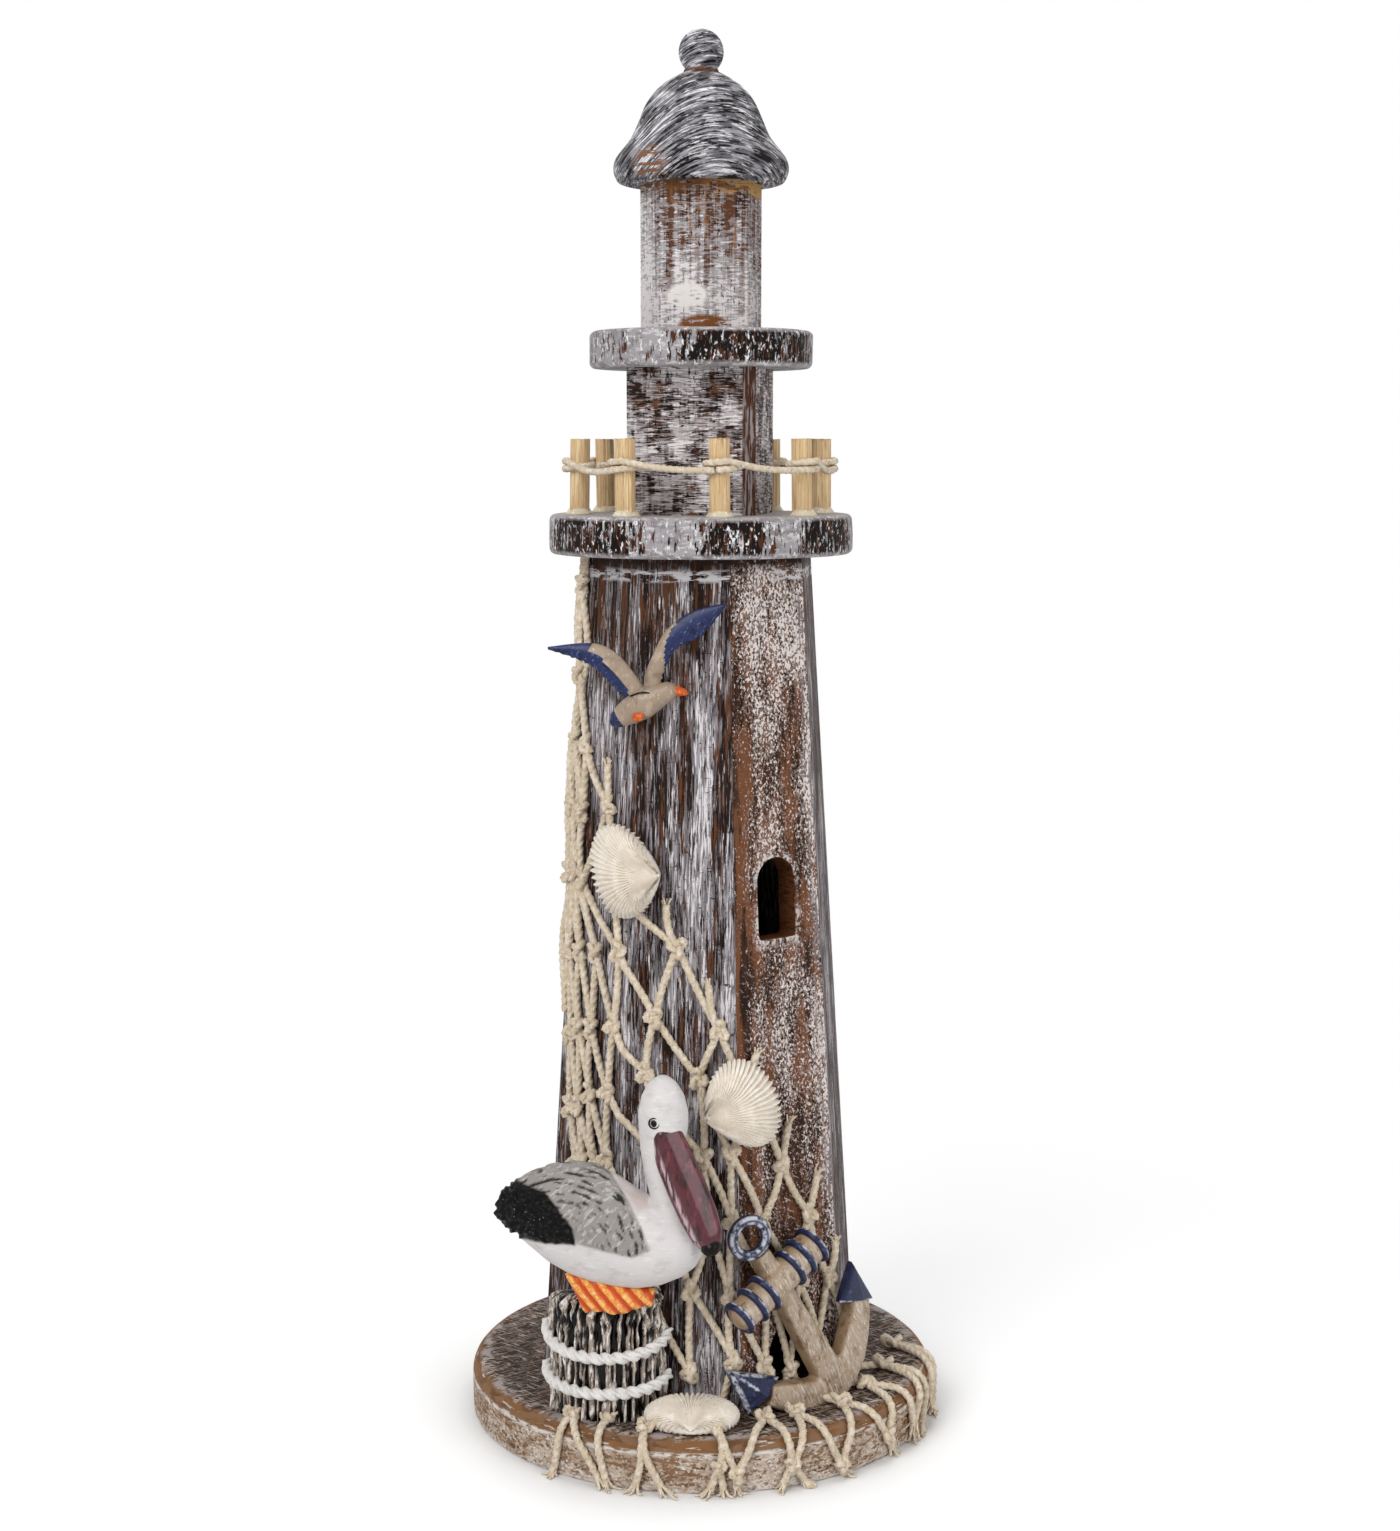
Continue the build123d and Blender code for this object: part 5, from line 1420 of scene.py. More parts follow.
for wing, (upper, lower, lift, (navy_start, navy_fall)) in GULL_WINGS.items():
    top_line = smooth_line(upper, WING_STEPS)
    low_line = smooth_line(lower, WING_STEPS)
    lift_line = smooth_line([(value,) for value in lift], WING_STEPS)
    last = len(top_line) - 1
    rings = []
    for station, (top_edge, low_edge, (out,)) in enumerate(zip(top_line, low_line, lift_line)):
        t = station / last
        thick = WING_THICK * (1 - WING_THINNING * t)
        feather = math.cos(2 * math.pi * FEATHERS * t)
        ring = []
        for k in range(WING_SIDES):
            turn = 2 * math.pi * k / WING_SIDES
            chord = (1 - math.cos(turn)) / 2
            groove = FEATHER_DEPTH * feather * max(0.0, chord - FEATHER_START)
            edge = 1 + FEATHER_NOTCH * feather if chord > NOTCH_START else 1
            aside = top_edge[0] + (low_edge[0] - top_edge[0]) * chord * edge
            rise = top_edge[1] + (low_edge[1] - top_edge[1]) * chord * edge
            camber = WING_CAMBER * math.sin(math.pi * chord) * (1 - t)
            ring.append(gull_spot(aside, rise, out + camber + (thick + groove) * math.sin(turn)))
        rings.append(ring)
    slots = []
    for station in range(last):
        t = (station + 0.5) / last
        for k in range(WING_SIDES):
            chord = (1 - math.cos(2 * math.pi * (k + 0.5) / WING_SIDES)) / 2
            trailing = chord > navy_start - navy_fall * t and t > NAVY_ROOT
            slots.append(1 if trailing or t > NAVY_TIP else 0)
    plane = new_piece("gull_wing_" + wing, *lofted(rings), beige_resin)
    plane.data.materials.append(navy_paint)
    plane.data.polygons.foreach_set("material_index", slots + [0, 1])
    gull_parts.append(plane)
# Stations of the body from tail to head: across, up, out, half height and half depth.
GULL_BODY = [
    (-10.0, -6.4, 2.2, 0.8, 0.8),
    (-8.6, -5.3, 2.6, 2.3, 1.6),
    (-6.4, -3.8, 2.9, 3.1, 2.4),
    (-3.8, -2.2, 3.2, 3.8, 3.3),
    (-1.0, -0.5, 3.3, 4.2, 3.8),
    (1.8, 1.0, 3.4, 3.6, 3.5),
    (4.0, 2.0, 3.5, 2.9, 3.0),
    (5.8, 2.6, 3.6, 2.7, 2.8),
    (7.2, 2.8, 3.6, 2.0, 2.1),
    (8.0, 2.8, 3.6, 0.9, 1.0),
]
# Stations of the beak and of the foot, with the same values.
GULL_BEAK = [
    (6.9, 2.9, 3.7, 1.5, 1.5),
    (8.4, 2.7, 3.7, 1.3, 1.2),
    (9.9, 2.4, 3.6, 0.9, 0.8),
    (10.8, 2.0, 3.5, 0.3, 0.3),
]
GULL_FOOT = [
    (-3.6, -4.6, 6.2, 0.4, 0.4),
    (-2.8, -4.3, 6.3, 1.2, 0.9),
    (-1.4, -3.9, 6.3, 1.2, 0.9),
    (-0.4, -3.5, 6.2, 0.5, 0.4),
]
# Where the navy tail begins, and which way the body runs from there.
TAIL_END = (-7.6, -4.6)
TAIL_WAY = (0.85, 0.53)
# A thin black line along the body at the wings' roots: start, run, bow up and out, wave and how it is drawn.
LINE_START = (-4.2, 1.3, 6.5)
LINE_RUN = 6.4
LINE_BOW = (1.1, 0.3)
LINE_WAVE = 0.5
LINE_STEPS = 12
line_look = {"thickness": 0.42, "pitch": 9.0, "finish": black_paint, "depth": 0.0, "step": 0.4, "sides": 8}


def gull_trunk(stations):
    """Rings of the gull's body, head or beak, across its bent axis."""
    rings = []
    for k, (aside, rise, out, half_rise, half_out) in enumerate(stations):
        before = stations[max(0, k - 1)]
        beyond = stations[min(len(stations) - 1, k + 1)]
        way = FRONT_RIGHT * (beyond[0] - before[0]) + front_up * (beyond[1] - before[1])
        side = front_normal.cross(way.normalized())
        rings.append(oval(gull_spot(aside, rise, out), side, front_normal, half_rise, half_out, count=28))
    return lofted(rings)


trunk = cast("gull_body", [gull_trunk(GULL_BODY)], beige_resin, voxel=0.35, soften=3)
trunk.data.materials.append(navy_paint)
tail_end = gull_spot(*TAIL_END, 0)
tail_way = (FRONT_RIGHT * TAIL_WAY[0] + front_up * TAIL_WAY[1]).normalized()
tail_slots = [1 if (Vector(p.center) / MM - tail_end).dot(tail_way) < 0 else 0 for p in trunk.data.polygons]
trunk.data.polygons.foreach_set("material_index", tail_slots)
gull_parts.append(trunk)
gull_parts.append(cast("gull_beak", [gull_trunk(GULL_BEAK)], orange_paint, voxel=0.3, soften=2))
gull_parts.append(cast("gull_foot", [gull_trunk(GULL_FOOT)], orange_paint, voxel=0.3, soften=2))
black_line = []
for k in range(LINE_STEPS + 1):
    aside = LINE_START[0] + LINE_RUN * k / LINE_STEPS
    rise = LINE_START[1] + LINE_BOW[0] * math.sin(math.pi * k / (LINE_STEPS + 2))
    black_line.append(gull_spot(aside, rise, LINE_START[2] - LINE_BOW[1] * math.cos(k * LINE_WAVE)))
gull_parts.append(twisted("gull_brow", [(black_line, False)], **line_look))
painted_gull = joined("painted_gull", gull_parts)
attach(painted_gull, "root")
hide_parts("gull")

# Anchor: a flat-backed resin casting in beige with navy trim, dry-brushed white on its edges.
# It stands on its crown, leans on the netted tower and is glued at the stock.
ANCHOR_TILT = 30.4
ANCHOR_CROWN_ASIDE = 9.0
ANCHOR_CROWN_RISE = 3.2
ANCHOR_BACK = 3.0
STOCK_RISE = 37.8
STOCK_OUT = 4.9
RING_RADIUS = 4.8
RING_WIRE = 1.45
RING_PLACE = (-0.6, 53.4, 4.4)
RING_TURN = 0.35
# Section of the shank and the arms: how far out its middle lies, half its depth, its sides and squareness.
BAR_MIDDLE = 3.3
BAR_HALF = 3.2
BAR_SIDES = 36
BAR_SQUARE = 4.0
# Where the brushed front starts and how soon it is full, by how far the surface faces out.
FRONT_START = 0.45
FRONT_FADE = 0.4
window_up = up_stave(WINDOW_AZIMUTH)
anchor_crown = placed(WINDOW_AZIMUTH, FOOT_FLATS, TOWER_FOOT) + window_right * ANCHOR_CROWN_ASIDE
anchor_crown = anchor_crown + window_up * ANCHOR_CROWN_RISE + face_normal * ANCHOR_BACK
lean_angle = math.radians(90 + ANCHOR_TILT)
shank_way = window_right * math.cos(lean_angle) + window_up * math.sin(lean_angle)
stock_way = shank_way.cross(face_normal)


def anchor_spot(aside, along, out):
    """Place on the anchor, across and along its shank from the crown and out from its back."""
    return anchor_crown + stock_way * aside + shank_way * along + face_normal * out


def attribute(name):
    """Mask painted on a piece's points."""
    return lambda tree: add_node(tree, "ShaderNodeAttribute", {"attribute_name": name}, {}).outputs["Fac"]


def mark_points(piece, name, values):
    """Paint a mask on a piece's points for its finish to read."""
    layer = piece.data.attributes.new(name, "FLOAT", "POINT")
    layer.data.foreach_set("value", np.array(values, np.float32))


def measured(piece, kind):
    """Places in metres or normals of a piece's points, one row for each."""
    values = np.empty(len(piece.data.vertices) * 3)
    piece.data.vertices.foreach_get(kind, values)
    return values.reshape(-1, 3)


def bar_ring(aside, along, side, half):
    """Ring of the shank or an arm, a box with rounded corners."""
    middle = anchor_spot(aside, along, BAR_MIDDLE)
    return oval(middle, side, face_normal, half, BAR_HALF, BAR_SIDES, BAR_SQUARE)


# Beige resin with a dry white brush gives pale upright scratches on the faces that look out.
brushed_resin = painted(
    "brushed_beige_resin",
    [
        ("#9C8469", []),
        ("#7C6249", [marks((3.5, 3.5, 3.5), 0.5, 0.62, place=6)]),
        ("#B3A08C", [attribute("front"), marks((3, 3, 5), 0.34, 0.56)]),
        ("#C6B9AC", [attribute("front"), marks((0.6, 0.6, 6), 0.52, 0.6, turn=(0, -24, 0), place=11)]),
        ("#DCD3CB", [attribute("front"), marks((0.45, 0.45, 4), 0.6, 0.66, turn=(0, -24, 0), place=3)]),
        ("#5A432F", [marks((0.8, 0.8, 1.4), 0.67, 0.72, place=25)]),
    ],
    rough=(0.28, 0.4),
    relief=0.12,
    specular=0.3,
)
# Stations of the shank: along and half width.
SHANK = [(-2.0, 4.4), (6.0, 4.2), (18.0, 3.6), (29.0, 3.1), (43.0, 2.7), (46.6, 2.5), (47.6, 2.1)]
anchor_forms = [lofted([bar_ring(0, along, stock_way, half) for along, half in SHANK])]
# Stations of an arm from the crown to the fluke: aside, along and half width.
ANCHOR_ARM = [
    (-1.5, -1.0, 4.2),
    (4.0, 0.4, 4.6),
    (8.5, 2.8, 4.6),
    (12.4, 6.4, 4.3),
    (15.6, 9.8, 3.7),
    (18.8, 13.6, 2.9),
]
for hand in (-1, 1):
    rings = []
    for k, (aside, along, half) in enumerate(ANCHOR_ARM):
        before = ANCHOR_ARM[max(0, k - 1)]
        beyond = ANCHOR_ARM[min(len(ANCHOR_ARM) - 1, k + 1)]
        way = stock_way * hand * (beyond[0] - before[0]) + shank_way * (beyond[1] - before[1])
        side = face_normal.cross(way.normalized())
        rings.append(bar_ring(hand * aside, along, side, half))
    anchor_forms.append(lofted(rings))
# Stations of the round stock: aside and radius.
STOCK = [
    (-16.6, 1.4),
    (-16.2, 2.8),
    (-15.2, 3.9),
    (-8.0, 4.5),
    (0.0, 4.7),
    (8.0, 4.7),
    (14.6, 4.5),
    (15.4, 3.6),
]
stock_rings = []
for aside, reach in STOCK:
    middle = anchor_spot(aside, STOCK_RISE, STOCK_OUT)
    stock_rings.append(oval(middle, shank_way, face_normal, reach, reach, count=40))
anchor_iron = cast("anchor_iron", anchor_forms + [lofted(stock_rings)], brushed_resin)
facing = measured(anchor_iron, "normal") @ np.array(face_normal)
mark_points(anchor_iron, "front", np.clip((facing - FRONT_START) / FRONT_FADE, 0, 1))
anchor_parts = [anchor_iron]
# Navy trim gives a dark satin blue with white rubbed on its edges.
trimmed_navy = painted(
    "navy_trim_brushed_white",
    [
        ("#1D2547", []),
        ("#121730", [marks((1.8, 1.8, 1.8), 0.5, 0.62, place=3)]),
        ("#3A4470", [marks((1.4, 1.4, 1.4), 0.58, 0.66, place=19)]),
        ("#C9CCD6", [attribute("edge"), marks((1.8, 1.8, 1.8), 0.4, 0.58, place=27)]),
    ],
    rough=(0.3, 0.45),
    relief=0.12,
    specular=0.3,
)


WIRE_SIDES = 16


def hoop(centre, side, rise, reach, wire, steps=72, section=WIRE_SIDES):
    """Points and faces of a ring of round wire."""
    axis = side.cross(rise)
    points = []
    faces = []
    for k in range(steps):
        turn = 2 * math.pi * k / steps
        way = side * math.cos(turn) + rise * math.sin(turn)
        for j in range(section):
            bend = 2 * math.pi * j / section
            points.append(centre + way * (reach + wire * math.cos(bend)) + axis * (wire * math.sin(bend)))
    for k in range(steps):
        for j in range(section):
            after = (k + 1) % steps
            near, far = k * section, after * section
            faces.append((near + j, near + (j + 1) % section, far + (j + 1) % section, far + j))
    return points, faces


def wire_sides(points):
    """How far each point of a hoop lies to one side of its wire, from -1 to 1."""
    return [math.sin(2 * math.pi * (k % WIRE_SIDES) / WIRE_SIDES) for k in range(len(points))]


# Bands round the stock: aside and radius, then their wire and the side of it that is rubbed white.
BANDS = [(-14.8, 4.1), (-9.6, 4.5), (-5.0, 4.7), (5.0, 4.8), (9.4, 4.75), (14.2, 4.6)]
BAND_WIRE = 1.0
BAND_WHITE = 0.3
# The side of the ring's wire that is rubbed white, and half its width.
RING_WHITE = 0.75
RING_WHITE_HALF = 0.2
for aside, reach in BANDS:
    band = hoop(anchor_spot(aside, STOCK_RISE, STOCK_OUT), shank_way, face_normal, reach, BAND_WIRE)
    trim = new_piece("stock_band", *band, trimmed_navy)
    mark_points(trim, "edge", [1.0 if side > BAND_WHITE else 0.0 for side in wire_sides(band[0])])
    anchor_parts.append(trim)
ring_out = (face_normal * (1 - RING_TURN) + Vector((0, -RING_TURN, 0))).normalized()
ring_side = shank_way.cross(ring_out).normalized()
eye_ring = hoop(anchor_spot(*RING_PLACE), ring_side, ring_out.cross(ring_side), RING_RADIUS, RING_WIRE)
rubbed_white = [abs(side - RING_WHITE) < RING_WHITE_HALF for side in wire_sides(eye_ring[0])]
ring = new_piece("anchor_ring", *eye_ring, trimmed_navy)
mark_points(ring, "edge", rubbed_white)
anchor_parts.append(ring)
# Each fluke's tip and its inner and outer barb: aside and along.
FLUKES = [
    [(-24.8, 27.6), (-13.2, 14.4), (-26.0, 13.2)],
    [(22.8, 23.4), (13.4, 16.8), (23.0, 9.8)],
]
FLUKE_STEPS = 26
FLUKE_FACE = 4.4
FLUKE_BACK = 0.9
FLUKE_RIDGE = 2.4
FLUKE_BEVEL = 0.9
FLUKE_BEVEL_SHARE = 12
# White rubbed on a fluke's edges and on its ridge, as shares of its width, and where the ridge's starts.
EDGE_WHITE = 0.06
RIDGE_WHITE = 0.05
RIDGE_WHITE_START = 0.3
for corners in FLUKES:
    points = []
    pale = []
    index = {}
    for back in (0, 1):
        for a in range(FLUKE_STEPS + 1):
            for b in range(FLUKE_STEPS + 1 - a):
                c = FLUKE_STEPS - a - b
                share = [a / FLUKE_STEPS, b / FLUKE_STEPS, c / FLUKE_STEPS]
                aside = sum(w * p[0] for w, p in zip(share, corners))
                along = sum(w * p[1] for w, p in zip(share, corners))
                ridge = FLUKE_RIDGE * min(1.0, 2.0 * min(share[1], share[2]))
                bevel = FLUKE_BEVEL * (1 - min(1.0, FLUKE_BEVEL_SHARE * min(share))) ** 2
                out = FLUKE_BACK + bevel if back else FLUKE_FACE + ridge - bevel
                bare = share[0] < EDGE_WHITE
                if corners[0][0] < 0:
                    on_ridge = abs(share[1] - share[2]) < RIDGE_WHITE and share[0] > RIDGE_WHITE_START
                    bare = min(share[1:]) < EDGE_WHITE or on_ridge
                pale.append(1.0 if bare and not back else 0.0)
                index[back, a, b] = len(points)
                points.append(anchor_spot(aside, along, out))
    faces = []
    for back in (0, 1):
        for a in range(FLUKE_STEPS):
            for b in range(FLUKE_STEPS - a):
                faces.append((index[back, a, b], index[back, a + 1, b], index[back, a, b + 1]))
                if a + b < FLUKE_STEPS - 1:
                    faces.append((index[back, a + 1, b], index[back, a + 1, b + 1], index[back, a, b + 1]))
    rim = [(a, 0) for a in range(FLUKE_STEPS)]
    rim += [(FLUKE_STEPS - b, b) for b in range(FLUKE_STEPS)]
    rim += [(0, FLUKE_STEPS - b) for b in range(FLUKE_STEPS)]
    for (a, b), (c, d) in zip(rim, rim[1:] + rim[:1]):
        faces.append((index[0, a, b], index[0, c, d], index[1, c, d], index[1, a, b]))
    fluke = new_piece("anchor_fluke", points, faces, trimmed_navy, smooth=False)
    mark_points(fluke, "edge", pale)
    anchor_parts.append(fluke)
painted_anchor = joined("painted_anchor", anchor_parts)
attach(painted_anchor, "root")
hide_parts("anchor")

# Pelican on a piling: one resin casting, brush-painted, and varnished on the bill and the piling.
# The bird stands on orange webs on a ridged black post, which two white ropes bind.
# The casting is flat behind and is glued to the base against the front stave.
PELICAN_BACK = 44.8
PILING_MIDDLE = -18.5
PILING_HALF = 14.6
PILING_DEPTH = 10.5
# The rise that a level edge of an outline is taken to have.
LEVEL_RISE = 1e-9


def bird_spot(aside, height, out):
    """Place on the pelican: across from the front stave's middle, height, and out from its flat back."""
    return FRONT_OUT * (PELICAN_BACK + out) + FRONT_RIGHT * aside + Vector((0, 0, height))


def depth_inside(spots, outline):
    """Distance of flat points inside a closed outline, negative outside it."""
    a = np.array(outline, float)
    b = np.roll(a, -1, axis=0)
    edge = b - a
    gap = spots[:, None, :] - a[None]
    t = np.clip((gap * edge).sum(2) / (edge**2).sum(1), 0, 1)
    far = np.linalg.norm(gap - t[..., None] * edge, axis=2).min(1)
    x, y = spots[:, :1], spots[:, 1:]
    slope = edge[:, 0] / np.where(edge[:, 1] == 0, LEVEL_RISE, edge[:, 1])
    crossed = ((a[:, 1] > y) != (b[:, 1] > y)) & (x < slope * (y - a[:, 1]) + a[:, 0])
    return np.where(crossed.sum(1) % 2 == 1, far, -far)


# Body from tail to breast: across, top height, lowest height, half depth and depth of the middle.
BODY = [
    (-46.4, 72.0, 68.6, 0.8, 9.0),
    (-44.5, 75.5, 66.6, 2.2, 9.0),
    (-41.0, 78.6, 64.2, 4.2, 9.0),
    (-37.0, 81.0, 61.2, 6.0, 9.2),
    (-32.0, 83.2, 57.4, 8.0, 9.4),
    (-26.0, 84.4, 54.4, 9.4, 9.6),
    (-20.0, 84.0, 52.6, 10.2, 9.8),
    (-14.0, 81.6, 52.0, 10.6, 10.0),
    (-8.0, 77.6, 52.0, 10.4, 10.2),
    (-2.0, 75.0, 53.2, 9.6, 10.4),
    (3.5, 74.0, 55.8, 8.2, 10.8),
    (7.0, 72.0, 58.6, 6.2, 11.2),
    (9.0, 68.6, 62.2, 3.0, 11.6),
]
# Neck and head from the breast up: height, middle across, half width, half depth and depth of the middle.
NECK = [
    (62.0, 2.4, 6.6, 6.6, 10.5),
    (70.0, 1.8, 5.8, 5.8, 11.0),
    (77.0, 0.2, 4.9, 5.0, 11.6),
    (84.0, -1.8, 4.5, 4.8, 12.0),
    (90.0, -1.9, 5.3, 5.3, 12.4),
    (95.0, -1.2, 6.3, 5.9, 12.6),
    (100.0, -1.2, 6.6, 6.2, 12.6),
    (104.5, -1.3, 5.5, 5.3, 12.4),
    (107.8, -1.4, 3.6, 3.6, 12.2),
    (109.5, -1.4, 1.2, 1.3, 12.0),
]
body_rings = []
for aside, top, low, half, depth in BODY:
    centre = bird_spot(aside, (top + low) / 2, depth)
    body_rings.append(oval(centre, FRONT_OUT, UPRIGHT, half, (top - low) / 2, count=36))
neck_rings = []
for height, aside, half_width, half_depth, depth in NECK:
    centre = bird_spot(aside, height, depth)
    neck_rings.append(oval(centre, FRONT_RIGHT, FRONT_OUT, half_width, half_depth, count=36))
# Resin under a stiff brush gives satin white plumage, grey strokes fanned over the wing and a black tail.
plumage = painted(
    "pelican_plumage_paint",
    [
        ("#DBD7D6", []),
        ("#CFCAC8", [marks((5, 5, 3), 0.5, 0.68)]),
        ("#E4E1DF", [marks((4, 4, 0.9), 0.54, 0.66, place=7)]),
        ("#CDBFBA", [attribute("fold")]),
        ("#97928E", [attribute("wing")]),
        ("#BDB9B6", [attribute("wing"), marks((1.0, 1.0, 4.5), 0.52, 0.62, turn=(0, 42, 0), place=3)]),
        ("#2E2B29", [attribute("wing"), attribute("stroke")]),
        ("#070706", [attribute("tail")]),
        ("#8E8A87", [attribute("tail"), marks((0.7, 0.7, 0.7), 0.64, 0.7, place=15)]),
    ],
    rough=(0.4, 0.55),
    relief=0.2,
)
bird = cast("pelican_bird", [lofted(body_rings), lofted(neck_rings)], plumage, soften=6)
# Outlines of the wing, of the black tail feathers and of the shaded fold at the neck: across and height.
WING = [
    *[(-45.5, 75), (-41, 79.8), (-36, 82.6), (-29, 85.2), (-21, 85.6)],
    *[(-16, 82.2), (-11.2, 75.2), (-7.4, 67.4), (-5.2, 62), (-9.6, 59.9)],
    *[(-17, 61.2), (-24.5, 62.9), (-33, 63.2), (-41, 64.6), (-47, 69)],
]
TAIL = [
    *[(-48, 73), (-41.5, 79.2), (-37.4, 77.6), (-32.7, 76.2), (-25, 66.8)],
    *[(-24.6, 62.4), (-33, 62.2), (-41, 63.4), (-48, 67)],
]
FOLD = [(-16, 82.2), (-11, 78.4), (-6, 76.6), (-4.6, 73.4), (-8.4, 71.0), (-11.2, 75.2)]
# Width over which each outline's paint fades, and its share inside the outline.
WING_FADE = (0.9, 0.5)
TAIL_FADE = (0.6, 0.5)
FOLD_FADE = (1.6, 0.2)
# The point that the wing's strokes fan out from, with where they start and how soon they are full.
WING_HEART = (-28.0, 60.0)
STROKE_START = 6.0
STROKE_REACH = 9.0
STROKE_RANGE = (0.16, 0.22)
# Coarse and fine strokes: share, width in millimetres, how many to a radian, and place in the noise.
STROKE_GRAIN = [(1.0, 0.95, 4.4, 3.0), (0.5, 0.5, 9.0, 9.0)]
# Size of the tail's feathers across and up, and their place in the noise.
TAIL_GRAIN = (1.6, 1.1, 5.0)
# How far the outlines shift across and up for each millimetre forward of the body's middle.
MID_DEPTH = 9.5
OUTLINE_SHIFT = (0.15, 0.33)
# How far the wing stands out, how deep its strokes are cut and how rough the tail's feathers are.
WING_RELIEF = 0.55
STROKE_RELIEF = 0.3
TAIL_RELIEF = 0.9
spots = measured(bird, "co") / MM
forward = spots @ np.array(FRONT_OUT) - PELICAN_BACK - MID_DEPTH
aside = spots @ np.array(FRONT_RIGHT) - OUTLINE_SHIFT[0] * forward
flat_spots = np.stack([aside, spots[:, 2] - OUTLINE_SHIFT[1] * forward], axis=1)
wing_in = np.clip(depth_inside(flat_spots, WING) / WING_FADE[0] + WING_FADE[1], 0, 1)
tail_in = np.clip(depth_inside(flat_spots, TAIL) / TAIL_FADE[0] + TAIL_FADE[1], 0, 1)
fold_in = np.clip(depth_inside(flat_spots, FOLD) / FOLD_FADE[0] + FOLD_FADE[1], 0, 1)
strokes = np.zeros(len(spots))
for k, (aside, height) in enumerate(flat_spots):
    if wing_in[k] > 0:
        away = math.hypot(aside - WING_HEART[0], height - WING_HEART[1])
        swing = math.atan2(height - WING_HEART[1], aside - WING_HEART[0])
        grain = 0.0
        for share, wide, fan, place in STROKE_GRAIN:
            grain += share * noise.noise((away / wide, swing * fan, place))
        begun = min(1.0, max(0.0, (away - STROKE_START) / STROKE_REACH))
        strokes[k] = min(1.0, max(0.0, (grain - STROKE_RANGE[0]) / STROKE_RANGE[1])) * begun
for mask_name, values in (("wing", wing_in), ("tail", tail_in), ("fold", fold_in), ("stroke", strokes)):
    mark_points(bird, mask_name, values)
wide, tall, place = TAIL_GRAIN
feathers = np.array([noise.noise((aside / wide, height / tall, place)) for aside, height in flat_spots])
relief = WING_RELIEF * wing_in - STROKE_RELIEF * strokes * wing_in + TAIL_RELIEF * feathers * tail_in
raised = spots + relief[:, None] * measured(bird, "normal")
bird.data.vertices.foreach_set("co", (raised * MM).ravel())
bird.data.update()

# Varnished paint gives a deep glossy maroon, with a painted highlight: a pale line along the bill.
maroon_varnish = painted(
    "maroon_varnished_bill",
    [
        ("#57212A", []),
        ("#310F14", [marks((2.2, 2.2, 7), 0.48, 0.6)]),
        ("#733440", [marks((1.6, 1.6, 8), 0.54, 0.64, place=6)]),
        # Painted highlight: pale colour along a line on the left of the bill.
        ("#C9AEB7", [attribute("ridge"), marks((0.9, 0.9, 9), 0.42, 0.54, place=12)]),
    ],
    rough=(0.16, 0.24),
    relief=0.1,
    specular=0.4,
)
BILL_ROOT = (-1.5, 96.8, 15.2)
BILL_TIP = (12.9, 65.4, 18.4)
BILL_SIDES = 40
# How high the keel along the bill stands, and how narrow it is.
BILL_KEEL = 0.9
KEEL_NARROW = 9
# The painted highlight, a pale line: how far to the left of the bill's middle it runs, and how far it
# spreads.
BILL_HIGHLIGHT_ASIDE = 3.1
BILL_HIGHLIGHT_SPREAD = 0.9
BILL_HIGHLIGHT_FULL = 1.3
bill_root = bird_spot(*BILL_ROOT)
bill_way = (bird_spot(*BILL_TIP) - bill_root).normalized()
bill_length = (bird_spot(*BILL_TIP) - bill_root).length
bill_side = bill_way.cross(FRONT_OUT).normalized()
if bill_side.dot(FRONT_RIGHT) < 0:
    bill_side = -bill_side
bill_out = bill_way.cross(bill_side).normalized()
if bill_out.dot(FRONT_OUT) < 0:
    bill_out = -bill_out
# Stations along the bill: share of its length, half width and half thickness.
BILL = [
    (0.0, 4.4, 2.2),
    (0.05, 4.8, 2.8),
    (0.25, 5.1, 3.1),
    (0.5, 5.3, 3.3),
    (0.72, 5.1, 3.1),
    (0.88, 4.3, 2.7),
    (0.95, 3.1, 2.2),
    (0.99, 1.5, 1.4),
]
bill_rings = []
for share, half_width, half_thick in BILL:
    middle = bill_root + bill_way * (share * bill_length)
    ring = oval(middle, bill_side, bill_out, half_width, half_thick, BILL_SIDES)
    for k, spot in enumerate(ring):
        lift = max(0.0, math.sin(2 * math.pi * k / BILL_SIDES)) ** KEEL_NARROW
        ring[k] = spot + bill_out * (BILL_KEEL * lift)
    bill_rings.append(ring)
bill = cast("pelican_bill", [lofted(bill_rings)], maroon_varnish, voxel=0.4, soften=3)
# The painted highlight's mask, full along a line to the left of the bill's middle.
off_middle = (measured(bill, "co") / MM - np.array(bill_root)) @ np.array(bill_side)
mark_points(bill, "ridge", np.clip(BILL_HIGHLIGHT_FULL - np.abs(off_middle + BILL_HIGHLIGHT_ASIDE) / BILL_HIGHLIGHT_SPREAD, 0, 1))
# The black nail at the bill's tip: its place along the bill, then stations along it with their radius.
NAIL_SHARE = 0.955
NAIL_OUT = 0.9
NAIL = [(-2.2, 0.8), (-1.4, 2.2), (0.0, 2.9), (1.4, 2.3), (2.3, 0.8)]
nail_middle = bill_root + bill_way * (bill_length * NAIL_SHARE) + bill_out * NAIL_OUT
nail_rings = []
for along, reach in NAIL:
    nail_rings.append(oval(nail_middle + bill_way * along, bill_side, bill_out, reach, reach, count=28))
nail = cast("pelican_nail", [lofted(nail_rings)], black_paint, voxel=0.35, soften=2)

